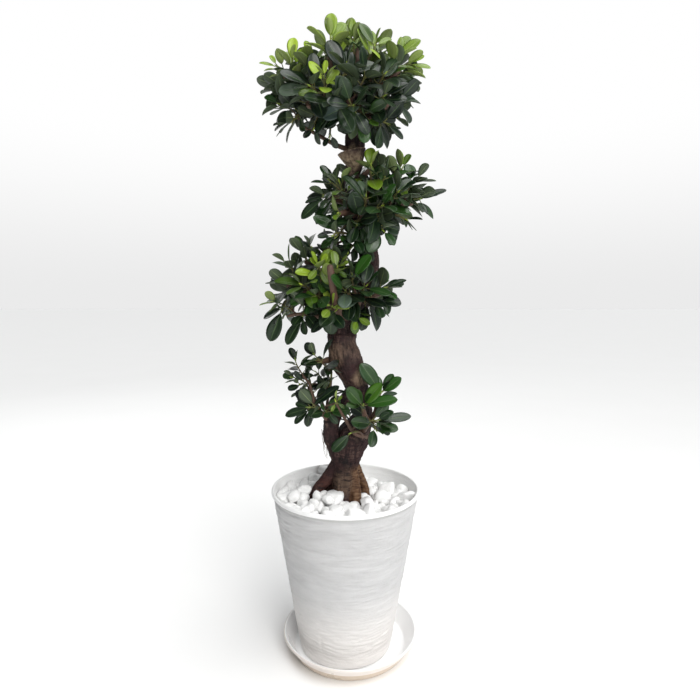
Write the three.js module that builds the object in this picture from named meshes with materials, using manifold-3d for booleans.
// Potted ficus: a grafted ficus bonsai with a winding trunk and four leafy tiers,
// standing in a tapered round plastic pot on a round saucer, the soil covered with
// loose white pebbles.
//
// Units: millimetres. +Z up. Origin: centre of the saucer's flat underside.
// +X to the right of the plant's best side, +Y to its back.
import * as THREE from 'three';
import { mergeVertices } from 'three/addons/utils/BufferGeometryUtils.js';
import Module from 'manifold-3d';

const wasm = await Module();
wasm.setup();

// ------------------------------------------------------------------ dimensions
const GAP = 0.35;               // clearance kept between touching pieces

const SAUCER_RIM_R = 113;       // outer radius of the saucer's lip
const SAUCER_BASE_R = 94.5;     // flat underside
const SAUCER_HEIGHT = 29.6;
const SAUCER_FLOOR = 3;         // floor thickness

const POT_AXIS_X = -7.5;        // the pot stands a little off the saucer's centre
const POT_RIM_R = 122.5;        // outer radius of the rolled rim
const POT_RIM_TOP = 275;        // height of the rim above the ground
const POT_RIM_BAND = 6.8;       // height of the rim's band
const POT_FOOT_R = 76.5;        // outer radius at the foot
const POT_FOOT_Z = SAUCER_FLOOR + GAP;
const POT_WALL_TOP_R = 119.6;   // outer wall just under the rim band
const POT_INNER_TOP_R = 116.6;
const POT_INNER_FLOOR_R = 73.4;
const POT_FLOOR_TOP = 8.3;
const DRAIN_HOLE_R = 6;
const DRAIN_RING_R = 46;
const POT_SEGMENTS = 32;

const SOIL_TOP = 226;           // top of the potting mix
const BED_TOP = 247;            // level to which the lower pebbles are packed
const STONE_SHRINK = 0.955;     // keeps neighbouring pebbles apart

const LEAF_THICKNESS = 1;        // at the midrib
const PETIOLE_HALF = 0.8;
const BLADE_BASE_POWER = 0.8;    // how slowly the blade widens from its base
const BLADE_TIP_POWER = 0.5;     // how bluntly it closes at its tip

// ------------------------------------------------------------------ helpers
const V = (x, y, z) => new THREE.Vector3(x, y, z);

// A closed three.js geometry as a manifold solid.
function solid(geometry) {
  const g = geometry.clone();
  for (const name of Object.keys(g.attributes)) if (name !== 'position') g.deleteAttribute(name);
  const m = mergeVertices(g, 1e-4);
  return new wasm.Manifold(new wasm.Mesh({
    numProp: 3,
    vertProperties: new Float32Array(m.attributes.position.array),
    triVerts: new Uint32Array(m.index.array),
  }));
}

// A manifold solid as a three.js geometry.
function geometryOf(man) {
  const mesh = man.getMesh();
  const g = new THREE.BufferGeometry();
  g.setAttribute('position', new THREE.BufferAttribute(new Float32Array(mesh.vertProperties), 3));
  g.setIndex(new THREE.BufferAttribute(new Uint32Array(mesh.triVerts), 1));
  g.computeVertexNormals();
  return g;
}

// The largest connected piece of a solid.
function largest(man) {
  const parts = man.decompose();
  parts.sort((a, b) => b.volume() - a.volume());
  return parts[0];
}

// A tapered round limb: a cylinder bent along rows of [x, y, z, radius].
function limb(rows, sides, grow = 0) {
  const n = rows.length;
  const c = rows.map((r) => V(r[0], r[1], r[2]));
  const tangent = c.map((_, i) => c[Math.min(i + 1, n - 1)].clone().sub(c[Math.max(i - 1, 0)]).normalize());
  const u = [];
  const v = [];
  let ref = Math.abs(tangent[0].z) < 0.9 ? V(0, 0, 1) : V(0, 1, 0);
  for (let i = 0; i < n; i++) {
    const a = ref.clone().addScaledVector(tangent[i], -ref.dot(tangent[i])).normalize();
    u.push(a);
    v.push(tangent[i].clone().cross(a));
    ref = a;
  }
  const g = new THREE.CylinderGeometry(1, 1, 1, sides, n - 1, false);
  const p = g.attributes.position;
  for (let k = 0; k < p.count; k++) {
    const i = Math.round((0.5 - p.getY(k)) * (n - 1));
    const q = c[i].clone()
      .addScaledVector(u[i], p.getX(k) * (rows[i][3] + grow))
      .addScaledVector(v[i], p.getZ(k) * (rows[i][3] + grow));
    if (i === 0) q.addScaledVector(tangent[0], -grow);
    if (i === n - 1) q.addScaledVector(tangent[n - 1], grow);
    p.setXYZ(k, q.x, q.y, q.z);
  }
  return solid(g);
}

// Half width of an obovate blade at u = 0..1 from its base, as a share of its full half width.
function bladeProfile(u) {
  const x = Math.min(Math.max(u, 0), 1);
  const widest = BLADE_BASE_POWER / (BLADE_BASE_POWER + BLADE_TIP_POWER);
  const full = Math.pow(widest, BLADE_BASE_POWER) * Math.pow(1 - widest, BLADE_TIP_POWER);
  return Math.pow(x, BLADE_BASE_POWER) * Math.pow(1 - x, BLADE_TIP_POWER) / full;
}

// One leaf: a three-sided cylinder flattened into a petiole and an obovate, arched blade,
// flat above and with a low keel under its midrib.
// row: root x y z, base x y z, direction x y z, face normal x y z, length, width, petiole, arch, fold
function leaf(row) {
  const root = V(row[0], row[1], row[2]);
  const base = V(row[3], row[4], row[5]);
  const d = V(row[6], row[7], row[8]).normalize();
  const n = V(row[9], row[10], row[11]);
  n.addScaledVector(d, -n.dot(d)).normalize();
  const s = n.clone().cross(d);
  const [L, W, petiole, arch, fold] = row.slice(12);
  const at = (u, across, up) => base.clone().addScaledVector(d, petiole + L * u).addScaledVector(s, across)
    .addScaledVector(n, -arch * L * u * u + fold * Math.abs(across) + up);
  const ringU = [0, 0.45, 0.84];
  const g = new THREE.CylinderGeometry(1, 1, 1, 3, 2, false, Math.PI);
  const p = g.attributes.position;
  for (let k = 0; k < p.count; k++) {
    const i = Math.round((0.5 - p.getY(k)) * 2);
    const x = Math.sign(Math.round(p.getX(k) * 10));          // -1 and 1: edges, 0: keel or cap centre
    const centre = Math.hypot(p.getX(k), p.getZ(k)) < 0.5;
    let q;
    if (i === 0) {
      q = root.clone();
      if (!centre) q.addScaledVector(s, x * PETIOLE_HALF).addScaledVector(n, x === 0 ? -PETIOLE_HALF : 0.5 * PETIOLE_HALF);
    } else if (i === 2 && centre) q = at(1, 0, 0);
    else q = at(ringU[i], x * 0.5 * W * bladeProfile(ringU[i]), x === 0 ? -LEAF_THICKNESS : 0);
    p.setXYZ(k, q.x, q.y, q.z);
  }
  return solid(g);
}

// One pebble: a faceted ball pulled out to three half axes, each corner a little uneven.
// row: centre x y z, quaternion w x y z, half axes a b c, seed
function stone(row, grow = 0) {
  const [x, y, z, qw, qx, qy, qz, a, b, c, seed] = row;
  const q = new THREE.Quaternion(qx, qy, qz, qw);
  const g = new THREE.IcosahedronGeometry(1, 0);
  const m = mergeVertices((() => { const h = g.clone(); h.deleteAttribute('normal'); h.deleteAttribute('uv'); return h; })(), 1e-4);
  const p = m.attributes.position;
  for (let k = 0; k < p.count; k++) {
    const uneven = 1 - 0.12 * Math.abs(Math.sin(12.9898 * (k + 1) + 4.1 * seed));
    const w = V(p.getX(k) * (a * STONE_SHRINK + grow) * uneven, p.getY(k) * (b * STONE_SHRINK + grow) * uneven,
      p.getZ(k) * (c * STONE_SHRINK + grow) * uneven).applyQuaternion(q);
    p.setXYZ(k, w.x + x, w.y + y, w.z + z);
  }
  return solid(m);
}

function lathe(profile, segments, axisX = 0) {
  const g = new THREE.LatheGeometry(profile.map(([r, z]) => new THREE.Vector2(r, z)), segments);
  g.rotateX(Math.PI / 2);
  g.translate(axisX, 0, 0);
  return g;
}

const innerWallR = (z) => POT_INNER_FLOOR_R
  + ((POT_INNER_TOP_R - POT_INNER_FLOOR_R) * (z - POT_FLOOR_TOP)) / (POT_RIM_TOP - 7.5 - POT_FLOOR_TOP);

// ------------------------------------------------------------------ tables
// Woody frame: centre line rows of [x, y, z, radius].
const WOOD = [
  { name: 'trunk', sides: 8, rows: [[-9.3,2,177.5,11],[-9.3,2,193.5,14],[-9.3,2,211.5,17],[-9.2,0.2,240.6,21],[-9.9,-0.1,269.8,21.3],[-9.5,-0.1,299,20.5],[-5.8,1.2,327.8,23.5],[3.8,3.1,355.2,26.8],[16.4,8.9,380.8,20.2],[21.3,11,408.3,15.3],[12.6,3.3,435,18.2],[5.3,-4.2,462.2,20.9],[-5.4,-8,488.9,25],[-12.6,-2.6,516.4,22.7],[-7.8,5.8,543.5,21.1],[7.3,10.2,567.9,18.2],[20.7,9.3,593.8,16.8],[29.6,4.7,621,16],[31,-0.7,649.6,15.6],[24.8,-4.8,677.7,15.3],[15.7,-5.6,705.4,15.2],[8.4,-1.7,733.3,15],[4.7,4.2,761.6,13.9],[4.6,8.7,790.4,13],[7.6,9.6,819.3,14.9],[8.8,6.3,848.2,15],[8.2,2.8,877.1,12.1],[3.6,1.9,905.9,8.8],[-0.8,3,934.7,5.5]] },
  { name: 'fork', sides: 6, rows: [[-11.6,-2,315.2,15],[-21.3,-5.1,335.8,13.4],[-29.9,-8.7,356.9,12.7],[-31.1,-11.5,379.4,12.3],[-22.8,-12.5,400.6,11],[-10.8,-6.7,419.2,10],[3.3,0,436,11]] },
  { name: 'stub', sides: 8, rows: [[10.3,2,789.4,9],[7,-8.1,800.7,14.5],[2.9,-16,813.2,21]] },
  { name: 'root_left', sides: 5, rows: [[-21.6,-2,311.8,12],[-40.6,-7.5,287.6,10.1],[-59.2,-14.3,263.8,8.1],[-65.5,-16.1,233.4,6.3],[-68,-16,202.2,3.3]] },
  { name: 'root_front', sides: 5, rows: [[-9.9,-10,302.5,16.5],[-11.5,-20.1,280.6,14.2],[-14,-26.2,257.3,10.2],[-15.5,-28.1,233.2,7.3],[-16.5,-29.2,209.1,4.1]] },
  { name: 'root_front_right', sides: 5, rows: [[0,-4,310.7,11],[6.8,-10.9,286.3,9.6],[10.3,-15.2,260.5,8.5],[12.3,-18,234.4,6.5],[13.5,-19.6,208.2,3.6]] },
  { name: 'root_front_left', sides: 5, rows: [[-20,0,302.6,10],[-27.6,1.8,277.5,7.8],[-32.8,2,251.9,6],[-35.4,2,225.8,5],[-37,2,199.6,2.8]] },
  { name: 'root_back_right', sides: 5, rows: [[1.7,4,315,11],[13.8,12.1,290.9,8.6],[24.5,19.3,266,7],[30.6,21.9,238.7,5.7],[34.1,23.2,210.8,3.1]] },
  { name: 'root_back', sides: 5, rows: [[-8.4,10,302.6,13],[-11.8,23.2,278.3,10.6],[-17.5,36.1,254.3,8.4],[-21,43.5,227.7,6.1],[-23.1,48.1,200.3,3.3]] },
  { name: 'root_back_left', sides: 5, rows: [[-20.2,8,299.8,11],[-33.1,18.1,278.7,9.2],[-45.3,27.5,256.9,7.5],[-52.1,31.9,231.5,6],[-56.1,34.4,205.2,3.3]] }
];

// Leafy branches: a limb, its twigs, and the leaves on each twig.
const BRANCHES = [
  { name: 'leafy_branch_crown_01', limb: [[7.8,2,862.5,9],[-25.6,-18.6,879.6,6.1],[-63.5,-28.1,897,4.7],[-99.7,-22,918.6,3.2]], shoots: [
    { twig: [[-71.2,-28.3,901,2.3],[-81.8,-28.7,919.1,1.8],[-86.5,-30,936.7,1.3]],
      leaves: [[-86.3,-30,936.2,-86.5,-30,937.2,0.06,-0.06,1,-0.06,-1,-0.05,29.4,16.8,5.3,0.04,0.22],
        [-84.4,-29.4,928.7,-85.2,-29.7,928.5,-0.53,-0.68,0.52,0.51,0.23,0.83,29.7,17.5,7.5,0.08,0.27],
        [-76.8,-28.5,910.5,-77.6,-29.1,910.1,-0.45,-0.88,-0.16,-0.36,0.01,0.93,33.4,20.3,8.1,0.13,0.21]] },
    { twig: [[-63.9,-28.1,897.2,2.3],[-55.2,-31.6,919.5,1.8],[-55.9,-40,936.6,1.3]],
      leaves: [[-55.8,-38,932.5,-55,-37.8,932.6,-0.28,-0.89,0.35,-0.02,0.37,0.93,26.9,16.6,6,0.02,0.17],
        [-55.2,-31.8,919.8,-55.5,-32.2,919.6,-0.4,-0.87,0.27,0.33,0.14,0.93,40.6,24.6,9.7,0.06,0.17],
        [-57,-30.9,914.8,-57,-30,915,-0.68,0.54,0.51,-0.01,-0.69,0.72,35.3,21.9,7.8,0.09,0.24]] },
    { twig: [[-48.2,-26,889.6,2.3],[-49.6,-52.2,888.3,1.8],[-56.6,-74,886.6,1.3]],
      leaves: [[-54.5,-67.5,887.1,-54.3,-67.6,887.4,-0.87,-0.34,0.35,0.48,-0.74,0.48,38.3,22.8,9.8,0.07,0.16],
        [-52,-59.7,887.7,-51.1,-59.9,887.2,0.26,-0.38,-0.89,-0.22,-0.92,0.33,40.7,25,7.8,0.07,0.3],
        [-51,-56.5,888,-51.2,-56.5,888,-0.99,-0.17,0,0.15,-0.91,0.39,42.7,26.9,8.7,0.16,0.13],
        [-49,-39.8,888.9,-49.1,-39.8,889.1,-0.98,-0.02,0.18,0.13,-0.77,0.62,40.4,23.2,7.6,0.13,0.14]] },
    { twig: [[-56.1,-27.4,893.3,2.3],[-72.3,-28.3,869.4,1.8],[-88.5,-34,850.6,1.3]],
      leaves: [[-85.9,-33.1,853.6,-85.7,-32.5,853.3,-0.36,0.24,-0.9,-0.91,-0.3,0.28,27.6,16.4,5.4,0.03,0.29],
        [-82.4,-31.9,857.7,-82.2,-31.7,857.4,-0.29,-0.91,-0.3,-0.95,0.26,0.15,31.9,19.3,7.5,0.06,0.18],
        [-64.7,-27.9,880.7,-64.9,-26.8,880.8,-0.69,0.66,0.29,-0.71,-0.69,-0.14,33.3,19.5,9.6,0.04,0.22]] },
    { twig: [[-78,-28,904.6,2.3],[-95.2,-8.1,909.6,1.8],[-115,0,912.7,1.3]],
      leaves: [[-110.5,-1.8,912,-110.2,-1.3,912.2,-0.86,-0.44,0.24,-0.14,0.67,0.73,30.5,18.5,5.6,0.04,0.22],
        [-108.2,-2.8,911.6,-107.5,-1.2,912.1,-0.28,0.78,0.55,-0.61,-0.59,0.53,32.7,20.2,7.8,0.1,0.17],
        [-101.2,-5.6,910.6,-101,-4.8,910.2,-0.7,-0.1,-0.71,-0.6,0.62,0.5,35.6,21.3,7.2,0.15,0.14],
        [-94.7,-8.6,909.5,-95.5,-8.8,909.4,-0.79,-0.57,-0.2,-0.35,0.15,0.93,33.3,21.6,10.1,0.08,0.14]] },
    { twig: [[-31.4,-20.9,882.1,2.3],[-54.1,9.7,889,1.8],[-80.2,24,885.2,1.3]],
      leaves: [[-77.5,22.5,885.6,-77.2,23.1,885.7,-0.58,0.28,-0.76,-0.81,-0.19,0.55,30,20.1,5.3,0,0.25],
        [-71.4,19.1,886.5,-70.9,20.5,888,-0.88,-0.18,0.45,0.01,0.92,0.39,32.9,20.4,7.5,0.13,0.2],
        [-64.3,15.3,887.5,-63.8,16.5,888.4,-0.54,-0.5,-0.68,-0.83,0.47,0.31,39,24.4,7,0.11,0.22],
        [-48.5,2.1,887.3,-47.7,2.6,887.4,-0.32,-0.06,-0.95,-0.93,0.19,0.3,35.6,22.1,9.3,0.11,0.24]] }
  ] },
  { name: 'leafy_branch_crown_02', limb: [[6.2,0,882.8,8],[-9.8,-19,896.2,6.7],[-22.9,-38.7,911.4,5.7],[-27.6,-50,936.3,5.8]], shoots: [
    { twig: [[-26,-43.9,919.3,2.3],[-27.6,-49.1,939.9,1.8],[-28.2,-52,958.8,1.3]],
      leaves: [[-28.2,-51.9,958.2,-28.2,-52,959.3,0.03,-0.05,1,-0.04,-1,-0.05,30.3,19.1,5.8,0.05,0.11],
        [-27.9,-50.4,948.7,-28.4,-50.6,948.7,-0.75,-0,0.66,0.66,0.01,0.75,33.7,22.6,9.2,0.07,0.27],
        [-27.5,-48.8,938.8,-28.1,-49.3,938.7,-0.69,-0.72,0.12,0.37,-0.2,0.91,39.7,24.6,8.5,0.12,0.23]] },
    { twig: [[-18.8,-32,905.6,2.3],[-9.4,-54.5,907.1,1.8],[-5.6,-74,913.6,1.3]],
      leaves: [[-6.4,-70.2,912.3,-6.3,-70.4,911.9,-0.52,-0.82,0.26,0.42,0.02,0.91,32.6,18.8,6.5,0.05,0.27],
        [-7.9,-62.4,909.7,-7.6,-62.5,909.5,-0.5,-0.24,0.83,0.34,-0.94,-0.07,38.6,25.7,7.9,0.07,0.2],
        [-8.2,-60.5,909.1,-8,-60.8,908,-0.28,-0.61,-0.74,-0.17,-0.73,0.66,38.6,22.5,8.8,0.14,0.27],
        [-8.9,-56.8,907.8,-8.2,-56.6,907.9,0.89,0.07,0.46,-0.19,-0.85,0.5,40.4,27.1,9.3,0.14,0.17]] }
  ] },
  { name: 'leafy_branch_crown_03', limb: [[1.6,2,910.5,6.5],[6.9,-6.7,927.3,5.2],[10.3,-13.5,945.4,4.1],[12.2,-12,964.8,3]], shoots: [
    { twig: [[7.7,-8,930.1,2.3],[6,-10.6,953.2,1.8],[6.1,-14,973.9,1.3]],
      leaves: [[6.1,-13.9,973.3,5.8,-13.9,974.3,-0.6,0.15,0.78,0.21,-0.92,0.33,33.4,20.3,6.5,0.04,0.15],
        [6,-12.4,964.4,5.8,-11.8,964.5,-0.02,0.62,0.78,-0.26,-0.76,0.6,28.9,17.7,9.2,0.1,0.18]] },
    { twig: [[9.4,-11.8,939.2,2.3],[28.9,-22.7,946.5,1.8],[36.6,-29.8,960.4,1.3]],
      leaves: [[36.4,-29.6,960,36.3,-29.8,960.8,-0.55,-0.01,0.84,0.3,-0.94,0.19,33.8,17.1,5.6,0.03,0.21],
        [33,-26.5,953.9,34.6,-26.6,953,0.91,0.12,0.41,-0.26,-0.6,0.75,29.2,18.4,8.6,0.08,0.12],
        [30.1,-23.7,948.6,30.1,-23.8,948.5,-0.43,-0.19,0.88,0.75,-0.62,0.23,31.6,20.4,9.4,0.04,0.2],
        [19.2,-17.2,942.9,19.6,-16.7,942.5,0.16,0.41,0.9,-0.02,-0.91,0.42,32.9,18.8,9.5,0.07,0.18]] }
  ] },
  { name: 'leafy_branch_crown_04', limb: [[9.4,2,874.5,8],[29.7,-15.3,891,6.1],[53.5,-25.3,908.3,4.8],[75.2,-24,930.7,3.4]], shoots: [
    { twig: [[51.6,-25,906.8,2.3],[59.3,-23.6,929.5,1.8],[70.3,-26,947,1.3]],
      leaves: [[70,-25.9,946.5,70.8,-26.1,947.3,0.81,-0.1,0.58,-0.35,-0.87,0.34,35.1,18.5,6,0.07,0.17],
        [64.3,-24.7,937.4,63.6,-24.8,937.8,-0.12,-0.89,0.43,0.53,0.31,0.79,33.4,20.8,7,0.08,0.14],
        [62.6,-24.3,934.7,62.7,-23.8,934.7,0.99,0.15,-0.04,0.12,-0.59,0.8,34.4,22,7.4,0.05,0.29]] },
    { twig: [[62,-26.2,915.9,2.3],[73.1,-14.6,934,1.8],[88.4,-12,943,1.3]],
      leaves: [[88,-12.1,942.8,88.9,-12,943,0.99,-0.06,-0.15,0.06,-0.75,0.66,28.8,14.6,6,0.03,0.11],
        [80.1,-13.4,938.1,79.6,-12.3,938.7,0.9,0.43,-0.02,-0.17,0.4,0.9,28,17.1,8.9,0.11,0.17],
        [71.8,-15.9,931.9,72.1,-15.9,931.7,0.97,-0.11,-0.22,0.2,-0.21,0.96,35.6,23.5,8.4,0.08,0.25]] },
    { twig: [[39.6,-21.1,898.4,2.3],[43.4,-41.7,903.2,1.8],[50.5,-58,909.4,1.3]],
      leaves: [[46.6,-49.2,906,46.3,-49.6,905.4,0.46,-0.76,-0.45,-0.14,-0.57,0.81,34.7,22.8,9.4,0.11,0.29],
        [41.6,-32.3,901,40.9,-32.6,900.1,-0.38,-0.46,-0.8,0.01,-0.87,0.5,40,24.3,8.8,0.05,0.18]] },
    { twig: [[33.5,-18,894,2.3],[57,-22.5,886.9,1.8],[78.2,-28,884.5,1.3]],
      leaves: [[74.3,-27,884.9,74.3,-27,885,0.67,-0.49,0.55,-0.03,-0.76,-0.65,30.7,19.3,7,0.08,0.2],
        [68.5,-25.5,885.6,68.4,-25.4,884.6,0.52,-0.33,-0.79,0.57,-0.55,0.61,35.5,23.8,8.2,0.1,0.23],
        [65.3,-24.6,885.9,65.4,-24.1,885.8,0.76,0.47,0.44,0.49,-0.87,0.07,33.3,22.6,7.6,0.14,0.23],
        [60.1,-23.3,886.5,59.9,-23.8,886.5,0.27,-0.95,0.17,0.63,0.3,0.72,36.6,22.1,7.5,0.11,0.28]] }
  ] },
  { name: 'leafy_branch_crown_05', limb: [[10.2,4,863.1,8.5],[35.9,4.1,875.8,6.1],[60.9,0.8,889.3,5],[85.1,-4,903.7,3.4]], shoots: [
    { twig: [[65.4,0,891.8,2.3],[69.8,6.5,916.4,1.8],[83.2,10,928.6,1.3]],
      leaves: [[75.2,7.9,921.3,73.6,8.3,923,-0.36,0.19,0.91,0.9,-0.17,0.39,42,25.3,9.4,0.12,0.19],
        [70.5,6.7,917.1,70.7,6.3,917,0.84,-0.54,0.05,0.02,0.13,0.99,37.8,23.6,7.2,0.13,0.17],
        [68.3,4.3,908.2,67.8,4.7,908.2,0.84,0.54,-0.03,0.2,-0.25,0.95,35.8,23,10.2,0.14,0.18]] },
    { twig: [[30.8,4.3,873.2,2.3],[51.7,15.6,881,1.8],[70.5,22,878.3,1.3]],
      leaves: [[61.4,18.9,879.6,61.5,19,881,0.85,-0.41,0.32,0.18,0.81,0.56,32.2,21,7.2,0.1,0.25],
        [59.9,18.4,879.8,59.8,19.1,880.4,0.13,0.4,-0.91,0.96,0.18,0.22,32.4,21.7,8.7,0.1,0.19],
        [56.2,17.1,880.3,56.2,17.7,881.7,0.11,0.42,0.9,0.95,-0.31,0.03,40.8,26.3,8.4,0.06,0.15],
        [42.6,10.7,877.6,42.5,10.8,877.8,0.48,-0,-0.88,0.88,0.03,0.48,34.8,20.8,8.7,0.05,0.26]] }
  ] },
  { name: 'leafy_branch_crown_06', limb: [[7.1,6,878.9,8],[-13.4,32.7,913.2,6.2],[-40,58.4,943.7,5.1],[-71.2,80,973.1,3.4]], shoots: [
    { twig: [[-46.8,64,950.4,2.3],[-40,54.6,972.6,1.8],[-41.2,56,991.2,1.3]],
      leaves: [[-40.7,55.5,984.1,-39.4,54.5,984.2,0.62,0.38,0.69,-0.6,-0.34,0.73,35,22.1,8.5,0.08,0.24],
        [-40.4,55,978.2,-40.2,54.1,978.3,-0.85,0.19,0.49,0.47,-0.16,0.87,40.1,23.7,7.9,0.13,0.15],
        [-40,54.6,973,-40,55.2,972.9,0.05,0.76,0.65,-0.04,-0.65,0.76,36,24.2,8.9,0.06,0.14]] },
    { twig: [[-39.4,57.9,943,2.3],[-60.2,58.7,959.3,1.8],[-78.5,66,970.3,1.3]],
      leaves: [[-72.6,63.6,966.8,-72.7,63.1,966.9,-0.7,0.69,-0.21,-0.27,0.02,0.96,35.5,23,7,0.07,0.18],
        [-65.8,60.9,962.7,-66,59.6,963.3,-0.35,-0.8,0.49,-0.42,0.6,0.68,34.9,22.2,9.3,0.15,0.27],
        [-65,60.6,962.2,-64.7,60.4,962.8,0.32,0.68,0.66,-0.54,-0.44,0.71,33.9,20.9,8.6,0.09,0.25]] },
    { twig: [[-53.3,68.8,956.8,2.3],[-34.9,81.8,969.5,1.8],[-31.1,98,977.3,1.3]],
      leaves: [[-33.1,89.6,973.3,-31.9,89.1,973.9,-0.57,0.59,0.57,0.72,0.04,0.69,35.3,23.9,9.1,0.14,0.26],
        [-33.7,87,972.1,-31.9,86.2,972.9,0.53,-0.3,0.79,-0.6,0.53,0.6,38.8,22.1,9,0.12,0.13],
        [-34.1,85.4,971.2,-33.2,85.3,971,-0.03,0.83,-0.56,0.61,0.46,0.65,37.8,23.6,9.1,0.14,0.29],
        [-40.9,77.6,965.3,-40.6,77.2,965.2,-0.37,0.93,-0.03,0.34,0.17,0.93,35.5,22.1,8.7,0.06,0.27]] },
    { twig: [[-31.4,50.9,934.9,2.3],[-53.6,56,933.6,1.8],[-70.4,66,932,1.3]],
      leaves: [[-66.5,63.6,932.3,-66.6,63.4,932.6,-0.31,0.9,0.29,-0.54,-0.42,0.73,30.6,20.7,7,0.05,0.14],
        [-60.3,60,932.9,-60.9,59.2,933.5,-0.54,-0.14,0.83,-0.71,0.6,-0.37,39.3,23.9,8,0.12,0.27],
        [-57.2,58.2,933.2,-57.2,58.4,933.3,0.18,0.98,0.04,-0.98,0.17,0.09,33.6,19.3,8.3,0.13,0.14],
        [-48.3,54.8,933.9,-48.3,54.5,933.2,-0.01,0.29,-0.96,-0.89,0.43,0.14,40.1,23.1,9.9,0.09,0.17]] },
    { twig: [[-23.5,43.4,926.3,2.3],[-34.3,62.2,919.7,1.8],[-42.6,78,910.4,1.3]],
      leaves: [[-38.9,71.1,914.5,-39.5,71.2,915.2,-0.93,0.35,0.11,0.33,0.68,0.65,32.2,21.4,7.9,0.15,0.23],
        [-36.7,66.9,917,-36.4,67.4,917.5,0.61,0.79,0.09,-0.79,0.59,0.15,37.7,23,7.4,0.05,0.15],
        [-32.4,59,920.9,-32.6,59.2,921.8,-0.32,0.46,0.83,-0.44,0.7,-0.56,35.2,22.5,9.2,0.08,0.29],
        [-29.2,53.5,922.8,-29,53.9,923.8,0.36,0.61,0.71,-0.8,0.59,-0.1,35,20.1,8.2,0.05,0.16]] }
  ] },
  { name: 'leafy_branch_crown_07', limb: [[10.2,6,878.9,8],[30.6,28.5,912.1,6.3],[52.4,53.4,942.6,5.2],[74.3,76,974.6,3.4]], shoots: [
    { twig: [[54.6,56,945.5,2.3],[47.1,52.4,970.8,1.8],[49.4,56,991.2,1.3]],
      leaves: [[48.6,54.8,984.4,47.7,53.5,984.7,0.35,-0.57,0.75,-0.42,0.62,0.66,34,22.3,7.8,0.11,0.15],
        [48.2,54.2,980.9,47.3,53.9,981.1,0.35,0.91,0.22,-0.19,-0.16,0.97,34.7,23.6,9.6,0.11,0.28],
        [47.5,53.1,974.6,46.4,52.3,974.9,-0.84,-0.42,0.35,0.46,-0.2,0.87,42.5,24.5,9.5,0.16,0.26]] },
    { twig: [[35.6,34,919.7,2.3],[32.6,19,943.4,1.8],[34.5,14,966.2,1.3]],
      leaves: [[33.7,16,957,33.6,15.1,956.8,0.74,0.13,0.66,-0.57,-0.4,0.72,31.9,20,8.2,0.1,0.21],
        [33.3,17.1,952.1,33,15.5,951.8,0.43,-0.89,0.14,-0.06,0.13,0.99,34.5,20.4,8.8,0.11,0.24],
        [33.7,24.8,934.3,33.3,24.7,934.1,0.02,0.66,0.75,0.27,-0.73,0.63,33.7,19.4,7.7,0.07,0.17],
        [34,26.3,931.9,34.4,25.4,931.4,0.97,-0.24,0.01,-0.11,-0.39,0.92,35.2,20.3,7.7,0.09,0.22]] },
    { twig: [[48.5,48.9,937.4,2.3],[64.5,53.3,958.9,1.8],[81.4,62,971.8,1.3]],
      leaves: [[75.1,58.7,967,74.7,57.9,968.1,0.32,-0.27,0.91,0.18,0.96,0.23,32.7,19.5,7.9,0.1,0.17],
        [70.5,56.4,963.5,70.6,55.9,963.8,0.82,0.23,-0.52,0.45,0.29,0.85,39.3,25.7,8.2,0.06,0.24],
        [67.8,55,961.4,67.9,54.1,962,0.51,-0.81,0.29,0.02,0.35,0.94,38.1,21.9,7.1,0.08,0.12],
        [63.4,53,957.4,63.6,53.4,957.2,0.59,0.76,-0.28,0.67,-0.27,0.69,38.1,23.3,8.4,0.16,0.18]] },
    { twig: [[42,41.3,928.8,2.3],[60.3,49.7,930.2,1.8],[75,60,929.7,1.3]],
      leaves: [[66.5,54.1,930,66.7,53.9,929.8,0.39,0.57,-0.72,0.78,0.21,0.59,34.4,20.7,7.5,0.14,0.17],
        [65.4,53.3,930.1,65.4,53.3,930.7,0.13,0.78,0.61,0.68,-0.52,0.52,36.5,21.1,8.4,0.05,0.16],
        [51.8,45.8,929.6,52,45.2,930.5,0.3,-0.33,0.89,0.58,0.81,0.1,34.4,21.8,7.5,0.07,0.28]] },
    { twig: [[29.3,27,910.1,2.3],[34,51.7,909,1.8],[40.6,70,901.1,1.3]],
      leaves: [[38.4,64,903.7,38.4,64.3,904.3,0.75,0.2,-0.63,0.35,0.69,0.63,35,22.2,7.9,0.06,0.22],
        [37,60.2,905.3,36.2,60.9,906.2,-0.78,0.6,-0.17,0.33,0.62,0.71,40.4,24.8,7.4,0.14,0.2],
        [35.7,56.5,906.9,35.9,56.9,908.1,0.71,0.27,0.64,-0.42,0.9,0.08,33.6,20.2,8.7,0.15,0.23],
        [33.8,50.9,909.1,33.4,51.2,909.6,-0.56,0.43,0.7,0.79,0.52,0.31,38.7,25.6,8.2,0.06,0.28]] }
  ] },
  { name: 'leafy_branch_crown_08', limb: [[7.8,6,891,7.5],[5.4,33,927,5.9],[2.7,59.8,963,4.7],[-1.7,84,1000.7,3.2]], shoots: [
    { twig: [[1.7,68,974.4,2.3],[-0.8,66.6,998,1.8],[-1.7,72,1017.5,1.3]],
      leaves: [[-1.5,70.7,1012.9,-1.5,69.8,1013.1,0.14,-0.23,0.96,-0.13,0.96,0.25,29.9,19.2,5.8,0.03,0.16],
        [-1.3,69.6,1009,-1.3,69.2,1009.1,0.31,0.81,0.5,-0.31,-0.41,0.86,32.6,19.2,7.6,0.14,0.24],
        [-0.8,66.7,997.3,-0.1,66.3,997.4,0.83,-0.33,0.45,-0.35,0.32,0.88,39,24.2,9.6,0.11,0.23]] },
    { twig: [[4.9,38,933.7,2.3],[-9.5,20.4,952.2,1.8],[-15.7,16,973.1,1.3]],
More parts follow.
